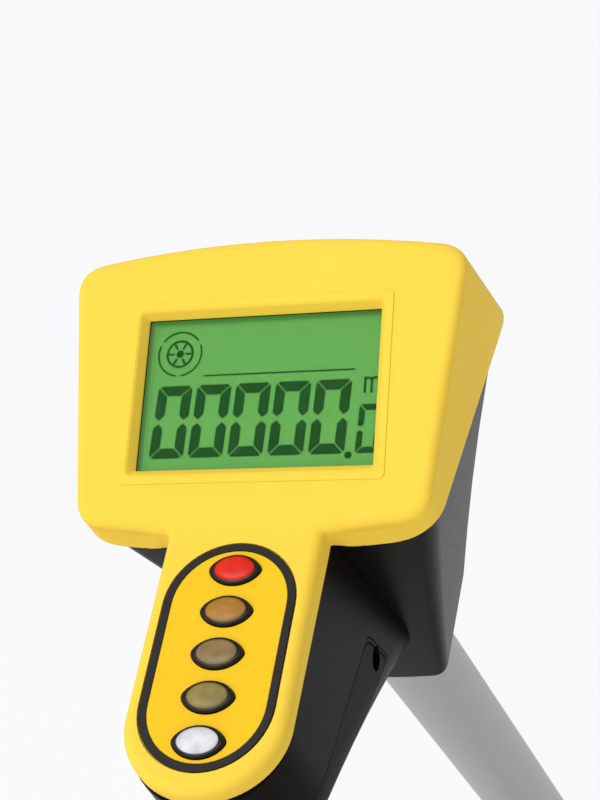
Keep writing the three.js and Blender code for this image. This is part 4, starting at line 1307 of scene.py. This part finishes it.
def make_clamp_bolt():
    low, high = reach("clamp_bolt", POLE)
    z = (low.z + high.z) / 2
    at_pin = shift(LEVER_X, BOLT_Y, 0)
    bolt_eye = placed(rod(BOLT_EYE_RADIUS, z - 3.6, z + 3.6, 0.5, 40), at_pin)
    shank = cross_rod(2.5, low.x + 2, LEVER_X - 2.5, 0.2, 32, BOLT_Y, z)
    mesh = cut(join(bolt_eye, shank), placed(rod(LEVER_PIN_ROOM, z - 8, z + 8, 0.1, 24), at_pin))
    head = placed(screw_head(4.5, 3.1, 1.0), shift(-EAR_HALF_WIDTH - GAP, BOLT_Y, z) @ turn(-90, "Y"))
    show("clamp_bolt", together(mesh, head), POLE, "zinc_steel", "handle")


def lever_outline():
    """The lever seen along the pole: it hugs the collar and flares at its finger end."""
    inner = curve(Vector((11, 19.8)), Vector((21.5, 13)), Vector((22, 0)), 8)
    inner += curve(Vector((22, 0)), Vector((21.5, -11)), Vector((17, -18)), 8)
    outer = curve(Vector((20.5, -20)), Vector((26, -12)), Vector((26, 0)), 8)
    outer += curve(Vector((26, 0)), Vector((25.5, 16)), Vector((17, 27)), 8)
    return distinct(inner + outer)


def make_clamp_lever():
    low, high = reach("clamp_lever", POLE)
    middle = (low.z + high.z) / 2
    at_pin = shift(LEVER_X, BOLT_Y, 0)
    mesh = prism(lever_outline(), low.z, high.z, 0.9)
    mesh = join(mesh, placed(rod(LEVER_EYE_RADIUS, low.z, high.z, 0.6, 48), at_pin))
    mesh = cut(
        mesh,
        block((LEVER_X - 9, BOLT_Y - 6.5, middle - 4), (LEVER_X + 5, BOLT_Y + 6.5, middle + 4), 0.2),
        placed(rod(LEVER_PIN_ROOM, low.z - 5, high.z + 5, 0.1, 32), at_pin),
    )
    for index in range(4):
        angle = math.radians(-14 - 7.5 * index)
        x, y = 27.0 * math.cos(angle), 25.8 * math.sin(angle)
        mesh = cut(mesh, placed(rod(0.8, low.z + 2.5, high.z - 2.5, 0.4, 16), shift(x - 0.4, y, 0)))
    piece("lever", mesh, POLE, "black_plastic", "clamp_lever", ["clamp_lever"], bevel=0.25)
    pin_low, pin_high = reach("lever_pin", POLE)
    pin = placed(rod(LEVER_PIN_RADIUS, pin_low.z, pin_high.z, 0.4, 40), at_pin)
    show("lever_pin", pin, POLE, "zinc_steel", "clamp_lever")


# ---- Fork ---------------------------------------------------------------------------------------

CROWN_RADIUS = 18.0
CROWN_HALF_DEPTH = 15.0
ARM_END_RADIUS = 14.0
ARM_END_START = 22.0
SCREW_Y = 8.0
SCREW_Z = 173.0
SCREW_ROOM = 3.3
AXLE_RADIUS = 4.0
AXLE_ROOM = AXLE_RADIUS + GAP
NUT_RADIUS = 7.5
CABLE_X = 16.5


def make_fork_crown():
    low, high = reach("fork_crown", POLE)
    tube_start = reach("lower_tube", POLE)[0].z
    bottom = block((low.x, -CROWN_HALF_DEPTH, low.z), (high.x, CROWN_HALF_DEPTH, low.z + 24), 1.6)
    start = low.z + 6
    corners = ((0, start), (CROWN_RADIUS, start), (CROWN_RADIUS, high.z), (0, high.z))
    sleeve = turned(lathe_profile(corners, 1.2, 4), 96)
    mesh = join(bottom, sleeve)
    mesh = cut(
        mesh,
        tube_room("lower_tube", tube_start - GAP, high.z + 5),
        placed(rod(2.1, low.z - 1, SCREW_Z, segments=24), shift(CABLE_X, 0, 0)),
        groove(CROWN_RADIUS, 0.7, high.z - 5, 0.7),
    )
    for side in (-1, 1):
        hole = rod(SCREW_ROOM, 9, 30, segments=32)
        mesh = cut(mesh, placed(hole, shift(0, side * SCREW_Y, SCREW_Z) @ turn(90 * side, "Y")))
    piece("crown", mesh, POLE, "black_plastic", "lower_pole", ["fork_crown"], bevel=0.5)


def make_fork_arm(name, side):
    """A flat bar with a round end at the axle and a long shallow pocket outside."""
    low, high = reach(f"fork_arm_{name}", POLE)
    end = arc(0, 0, ARM_END_RADIUS, 180 + ARM_END_START, 360 - ARM_END_START, 24)
    top = []
    for centre_x, start in ((12.5, 0), (-12.5, 90)):
        top += arc(centre_x, high.z - 2.5, 2.5, start, start + 90, 4)
    outline = distinct(top + end)
    stand_up = Matrix(((0, 0, 1, 0), (1, 0, 0, 0), (0, 1, 0, 0), (0, 0, 0, 1)))
    mesh = placed(prism(outline, low.x, high.x, 0.8), stand_up)
    pocket_outline = rounded(((8.5, 150), (-8.5, 150), (-7, 40), (7, 40)), 6, 6)
    outer = high.x if side > 0 else low.x
    pocket = prism(pocket_outline, *sorted((outer - side * 1.2, outer + side * 3)), 0.2)
    mesh = cut(
        mesh,
        cross_rod(AXLE_ROOM, -60, 60),
        cross_rod(SCREW_ROOM, -60, 60, 0.1, 32, side * SCREW_Y, SCREW_Z),
        placed(pocket, stand_up),
    )
    piece(f"arm_{name}", mesh, POLE, "grey_aluminium", "lower_pole", [f"fork_arm_{name}"], bevel=0.3)


def hexagon(radius, low, high, edge=0.7):
    return prism(arc(0, 0, radius, 0, 300, 5), low, high, edge)


def make_crown_screw(name, side):
    node = f"crown_screw_{name}"
    inner, outer = outward_reach(node, side)
    height = 3.0
    head = rod(5.0, outer - height, outer, 0.5, 48)
    head = cut(head, hexagon(2.6, outer - 1.8, outer + 3, 0.1))
    mesh = together(head, rod(3.0, inner, outer - height + 0.1, 0.3, 32))
    mesh = placed(mesh, shift(0, side * SCREW_Y, SCREW_Z) @ turn(90 * side, "Y"))
    show(node, mesh, POLE, "zinc_steel", "lower_pole")


def threaded_rod(radius, low, high, pitch=1.25):
    """A rod whose end shows its thread as a row of ridges."""
    profile = [(0, low), (radius, low)]
    steps = int((high - low) / pitch)
    for step in range(steps):
        z = low + pitch * step
        profile += [(radius, z + 0.2 * pitch), (radius - 0.45, z + 0.55 * pitch), (radius, z + 0.9 * pitch)]
    profile += [(radius - 0.6, high), (0, high)]
    return turned(profile, 48)


def make_axle():
    low, high = reach("axle_bolt", POLE)
    nut_low, nut_high = reach("axle_nut", POLE)
    thread = nut_low.x - 2
    shank = rod(AXLE_RADIUS, low.x + 5, thread + 0.1)
    head = hexagon(NUT_RADIUS, low.x, low.x + 5.3)
    head = cut(head, rod(4.5, low.x - 1, low.x + 0.5, segments=40))
    bolt = together(shank, head, threaded_rod(AXLE_RADIUS, thread, high.x))
    piece("axle", placed(bolt, ABOUT_X), POLE, "zinc_steel", "lower_pole", ["axle_bolt"])
    nut = cut(hexagon(NUT_RADIUS, nut_low.x, nut_high.x), rod(4.25, -60, 60))
    piece("nut", placed(nut, ABOUT_X), POLE, "zinc_steel", "lower_pole", ["axle_nut"])


def make_sensor():
    low, high = reach("sensor_housing", POLE)
    mesh = block(low, high, 1.5)
    window = block((low.x - 1, -6, low.z + 5), (low.x + 0.6, 6, high.z - 5), 0.2)
    piece("sensor", cut(mesh, window), POLE, "black_plastic", "lower_pole", ["sensor_housing"], bevel=0.3)
    low, high = reach("sensor_cable", POLE)
    radius = (high.x - low.x) / 2
    cable = placed(rod(radius, low.z, high.z, 0.3, 24), shift(CABLE_X, 0, 0))
    piece("sensor_lead", cable, POLE, "black_rubber", "lower_pole", ["sensor_cable"])


# ---- Wheel --------------------------------------------------------------------------------------

TREAD_BLOCKS = 72
TREAD_CUT = 1.3
TYRE_HEIGHT = 11.0
SPOKES = 6
SPOKE_FLARE = 14.0
RIM_HEIGHT = 11.0
RIM_HALF_WIDTH = 9.0
HUB_RADIUS = 22.0
MAGNETS = 12
MAGNET_CIRCLE = 29.5


def make_tyre():
    """A round-shouldered tyre with two grooves round it and short cuts across its shoulders."""
    high = reach("tyre", POLE)[1]
    radius = high.y
    half = high.x
    inner = radius - TYRE_HEIGHT
    corners = (
        (inner, -half + 1), (inner + 3, -half), (radius - 3.4, -half), (radius - 0.7, -half + 3),
        (radius, -half + 5), (radius, -3.2), (radius - 1.5, -2.8), (radius - 1.5, -1.8), (radius, -1.4),
    )
    profile = list(corners) + [(r, -x) for r, x in reversed(corners)]
    mesh = turned(lathe_profile(profile, 0.5, 2), TREAD_BLOCKS * 4)
    for vertex in mesh.verts:
        distance = vertex.co.xy.length
        index = round(math.atan2(vertex.co.y, vertex.co.x) / (2 * math.pi) * TREAD_BLOCKS * 4)
        if index % 4 == 0 and distance > radius - 3.0 and abs(vertex.co.z) > 4.2:
            vertex.co.xy = vertex.co.xy * ((distance - TREAD_CUT) / distance)
    show("tyre", placed(mesh, ABOUT_X), POLE, "tyre_rubber", "wheel", sharp=35)


def spoke(angle, root, tip):
    """A spoke with flared ends and softly rounded edges, along +Z before it is turned."""
    rings = []
    steps = 16
    for step in range(steps + 1):
        share = step / steps
        out = mix(root, tip, share)
        near_hub = max(0.0, 1 - (out - root) / SPOKE_FLARE)
        near_rim = max(0.0, 1 - (tip - out) / SPOKE_FLARE)
        half_width = 6.6 + 4.5 * near_hub ** 2 + 6.0 * near_rim ** 2
        half_depth = 3.5 + 1.5 * near_hub ** 2 + 1.5 * near_rim ** 2
        outline = rectangle(half_width, half_depth, 1.6, 3)
        rings.append([Vector((p.y, p.x, out)) for p in outline])
    return placed(loft(rings), turn(angle, "X"))


def make_rim():
    high = reach("wheel_rim", POLE)[1]
    outer = high.y
    inner = outer - RIM_HEIGHT
    half = RIM_HALF_WIDTH
    hub_half = high.x
    ring = turned(lathe_profile((
        (inner, -2), (inner + 5, -half), (outer, -half), (outer, half), (inner + 5, half), (inner, 2),
    ), 1.0, 3), 216)
    seat = reach("bearing_left", POLE)[1].y + GAP
    shoulder = hub_half - 7.3
    hub = turned(lathe_profile((
        (seat, -hub_half), (HUB_RADIUS, -hub_half), (HUB_RADIUS, hub_half), (seat, hub_half),
        (seat, shoulder), (8, shoulder), (8, -shoulder), (seat, -shoulder),
    ), 0.6, 3), 96)
    wheel = join(placed(ring, ABOUT_X), placed(hub, ABOUT_X))
    for index in range(SPOKES):
        wheel = join(wheel, spoke(360 / SPOKES * index, HUB_RADIUS - 1.5, inner + 2))
    piece("rim", wheel, POLE, "yellow_plastic", "wheel", ["wheel_rim"], bevel=0.5)


def make_magnet_ring():
    """The ring the sensor counts, with the faces of its magnets just proud of it."""
    low, high = reach("magnet_ring", POLE)
    ring = tube(high.y, 26.0, low.x, high.x, 0.4)
    for index in range(MAGNETS):
        angle = 2 * math.pi / MAGNETS * index
        magnet = rod(2.2, high.x - 0.4, high.x + 0.35, 0.2, 24)
        x, y = MAGNET_CIRCLE * math.cos(angle), MAGNET_CIRCLE * math.sin(angle)
        ring = join(ring, placed(magnet, shift(x, y, 0)))
    piece("magnets", placed(ring, ABOUT_X), POLE, "black_plastic", "wheel", ["magnet_ring"])


def make_hub_parts(name, side):
    """The cap, bearing and spacer of one side of the hub."""
    outwards = turn(90 * side, "Y")
    near, far = outward_reach(f"hub_cap_{name}", side)
    cap = turned(lathe_profile(((6.5, near), (16, near), (14.8, far), (6.5, far)), 0.6, 4), 72)
    piece(f"cap_{name}", placed(cap, outwards), POLE, "black_plastic", "wheel", [f"hub_cap_{name}"])
    node = f"bearing_{name}"
    near, far = outward_reach(node, side)
    races = turned(lathe_profile((
        (4.3, near), (11, near), (11, far), (9.3, far),
        (9.0, far - 0.4), (6.5, far - 0.4), (6.2, far), (4.3, far),
    ), 0.25, 2), 60)
    show(node, placed(races, outwards), POLE, "zinc_steel", "wheel")
    node = f"axle_spacer_{name}"
    low, high = reach(node, POLE)
    collar = placed(tube(5.6, 4.3, low.x, high.x, 0.3, 48), ABOUT_X)
    piece(f"spacer_{name}", collar, POLE, "zinc_steel", "lower_pole", [node])


# ---- Kickstand ----------------------------------------------------------------------------------

LEG_ROOT_X = 18.0
LEG_RADIUS = 5.0
LUG_RADIUS = 7.5
LUG_HALF_WIDTH = 8.5
LUG_ROOM = 10.25
YOKE_GAP_HALF = 8.8
YOKE_BOSS_RADIUS = 8.0
PIN_RADIUS = 4.0
PIN_ROOM = PIN_RADIUS + GAP
LEG_SEAT = 18.3
LEG_END = 6.0
STAND_PIVOT = (-30.0, 218.0)


def foot_point(side):
    low, high = reach("foot_right", STAND)
    return Vector((side * (low.x + high.x) / 2, (low.y + high.y) / 2, low.z))


def leg_point(side, distance):
    root = Vector((side * LEG_ROOT_X, 0, 0))
    return root + (foot_point(side) - root).normalized() * distance


def leg_length():
    return (foot_point(1) - Vector((LEG_ROOT_X, 0, 0))).length


def make_stand_bracket():
    low, high = reach("stand_bracket", POLE)
    band = rod(high.y, low.z, high.z, 0.9, 96)
    pivot_y, pivot_z = STAND_PIVOT
    arm = block(
        (-LUG_HALF_WIDTH, pivot_y, pivot_z - 6.5), (LUG_HALF_WIDTH, -12, pivot_z + 6.5), 1.0,
    )
    lug = cross_rod(LUG_RADIUS, -LUG_HALF_WIDTH, LUG_HALF_WIDTH, 0.8, 64, *STAND_PIVOT)
    mesh = cut(
        join(band, arm, lug),
        tube_room("lower_tube", low.z - 5, high.z + 5),
        cross_rod(PIN_ROOM, -30, 30, 0.1, 48, *STAND_PIVOT),
    )
    piece("bracket", mesh, POLE, "black_plastic", "lower_pole", ["stand_bracket"], bevel=0.5)
    low, high = reach("stand_pin", POLE)
    pin = cross_rod(PIN_RADIUS, low.x, high.x, 0.8, 48, *STAND_PIVOT)
    piece("pin", pin, POLE, "zinc_steel", "lower_pole", ["stand_pin"])


def make_stand_yoke():
    half = reach("stand_yoke", STAND)[1].x
    down = Vector((0, foot_point(1).y, foot_point(1).z)).normalized()
    lean = turn(math.degrees(math.atan2(down.y, -down.z)), "X")
    bridge = block((-half, -6, -2.5), (half, 6, 2.5), 1.0)
    mesh = placed(bridge, shift(0, down.y * 13.5, down.z * 13.5) @ lean)
    for side in (-1, 1):
        start, end = sorted((side * YOKE_GAP_HALF, side * half))
        mesh = join(mesh, cross_rod(YOKE_BOSS_RADIUS, start, end, 0.8, 64))
        mesh = join(mesh, rod_between(7.5, leg_point(side, 6), leg_point(side, 36), 0.8, 48))
    for side in (-1, 1):
        mesh = cut(mesh, rod_between(LEG_RADIUS + GAP, leg_point(side, 18), leg_point(side, 60), 0.1, 48))
    corner = Vector((YOKE_GAP_HALF, LUG_ROOM, LUG_ROOM))
    lug_room = placed(block(-corner, corner, 0.3), lean)
    mesh = cut(mesh, cross_rod(PIN_ROOM, -40, 40), lug_room)
    piece("yoke", mesh, STAND, "black_plastic", "kickstand", ["stand_yoke"], bevel=0.4)


def make_legs():
    for name, side in SIDES:
        leg_end = leg_length() - LEG_END
        leg = rod_between(LEG_RADIUS, leg_point(side, LEG_SEAT), leg_point(side, leg_end), 0.4, 48)
        show(f"leg_{name}", leg, STAND, "grey_aluminium", "kickstand")
        low, high = reach(f"foot_{name}", STAND)
        point = foot_point(side)
        height = high.z - low.z
        profile = lathe_profile((
            (0, 0), (11, 0), (11, 4), (10.2, 4.6), (10.2, 5.4), (11, 6), (11, 9), (10, 9.6),
            (10, 10.4), (10.6, 11), (8.6, height), (0, height),
        ), 0.5, 3)
        foot = placed(turned(profile, 64), Matrix.Translation(point))
        start, end = leg_point(side, 60), leg_point(side, leg_end + GAP)
        socket = rod_between(LEG_RADIUS + GAP, start, end, 0.1, 48)
        show(f"foot_{name}", cut(foot, socket), STAND, "black_rubber", "kickstand")


# ---- CAD nodes that stay ------------------------------------------------------------------------


def dress_cad_nodes():
    """Gives each CAD node that stays in view the finish of its own material slot."""
    slots = {entry["node"]: entry["material_slot"] for entry in frame["record"]["subparts"]}
    for name, node in frame["nodes"].items():
        node.data.materials.clear()
        node.data.materials.append(MATERIALS[slots[name]])


# ---- Studio -------------------------------------------------------------------------------------

LIGHTS = (
    ("key_light", (-0.32, -0.17, 0.93), 1.9, 32),
    ("fill_light", (-0.3, -0.9, 0.35), 0.6, 50),
)


def make_floor():
    floor_mesh = bmesh.new()
    bmesh.ops.create_grid(floor_mesh, x_segments=1, y_segments=1, size=40)
    data = as_data("floor", floor_mesh)
    shades = (0.84, 0.84, 0.85), (0.86, 0.86, 0.87)
    data.materials.append(surface("floor", shades, (0.7, 0.8), mottle=1.5, bump=0.0))
    floor = add_object("floor", data)


def make_light(name, towards, strength, spread):
    """A far soft light that shines from one direction, as wide as spread in degrees."""
    data = bpy.data.lights.new(name, "SUN")
    data.energy = strength
    data.angle = math.radians(spread)
    light = add_object(name, data)
    light.rotation_euler = Vector(towards).to_track_quat("Z", "Y").to_euler()


def make_world():
    """Soft white light from all round; seen directly, it is as bright as the floor."""
    world = bpy.data.worlds.new("studio")
    bpy.context.scene.world = world
    world.use_nodes = True
    tree = world.node_tree
    nodes, links = tree.nodes, tree.links
    ambient = nodes["Background"]
    set_inputs(ambient, dict(color=(0.98, 0.985, 1.0, 1), strength=0.5))
    seen = add_node(tree, "Background", color=(0.985, 0.985, 1.0, 1), strength=0.96)
    path = add_node(tree, "LightPath")
    mixed = add_node(tree, "MixShader")
    links.new(path.outputs["Is Camera Ray"], mixed.inputs[0])
    links.new(ambient.outputs["Background"], mixed.inputs[1])
    links.new(seen.outputs["Background"], mixed.inputs[2])
    links.new(mixed.outputs["Shader"], nodes["World Output"].inputs["Surface"])


def make_studio():
    bpy.context.scene.view_settings.view_transform = "Standard"
    make_world()
    for name, towards, strength, spread in LIGHTS:
        make_light(name, towards, strength, spread)


def make_camera():
    data = bpy.data.cameras.new("camera")
    data.lens = CAMERA_LENS
    data.clip_start = 0.02
    camera = add_object("camera", data)
    forward = (CAMERA_TARGET - CAMERA_PLACE).normalized()
    right = forward.cross(CAMERA_UP).normalized()
    axes = Matrix((right, right.cross(forward), -forward)).transposed().to_4x4()
    turned_head = HEAD.to_quaternion().to_matrix().to_4x4()
    camera.matrix_world = Matrix.Translation(HEAD @ CAMERA_PLACE) @ turned_head @ axes
    bpy.context.scene.camera = camera


# ---- The whole ----------------------------------------------------------------------------------


def make_head():
    make_front_cover()
    make_rear_housing()
    make_rear_cover()
    make_cover_screws()
    make_battery_door()
    make_cells()
    make_grip()
    make_grip_screw()
    make_screen()
    make_keypad()
    for index in range(KEY_COUNT):
        make_key(index)


def make_pole():
    make_tubes()
    make_clamp_collar()
    make_clamp_bolt()
    make_clamp_lever()
    make_fork_crown()
    for name, side in SIDES:
        make_fork_arm(name, side)
        make_crown_screw(name, side)
    make_axle()
    make_sensor()


def make_wheel():
    make_tyre()
    make_rim()
    make_magnet_ring()
    for name, side in SIDES:
        make_hub_parts(name, side)


def make_kickstand():
    make_stand_bracket()
    make_stand_yoke()
    make_legs()


dress_cad_nodes()
make_head()
make_pole()
make_wheel()
make_kickstand()
make_floor()
make_studio()
make_camera()
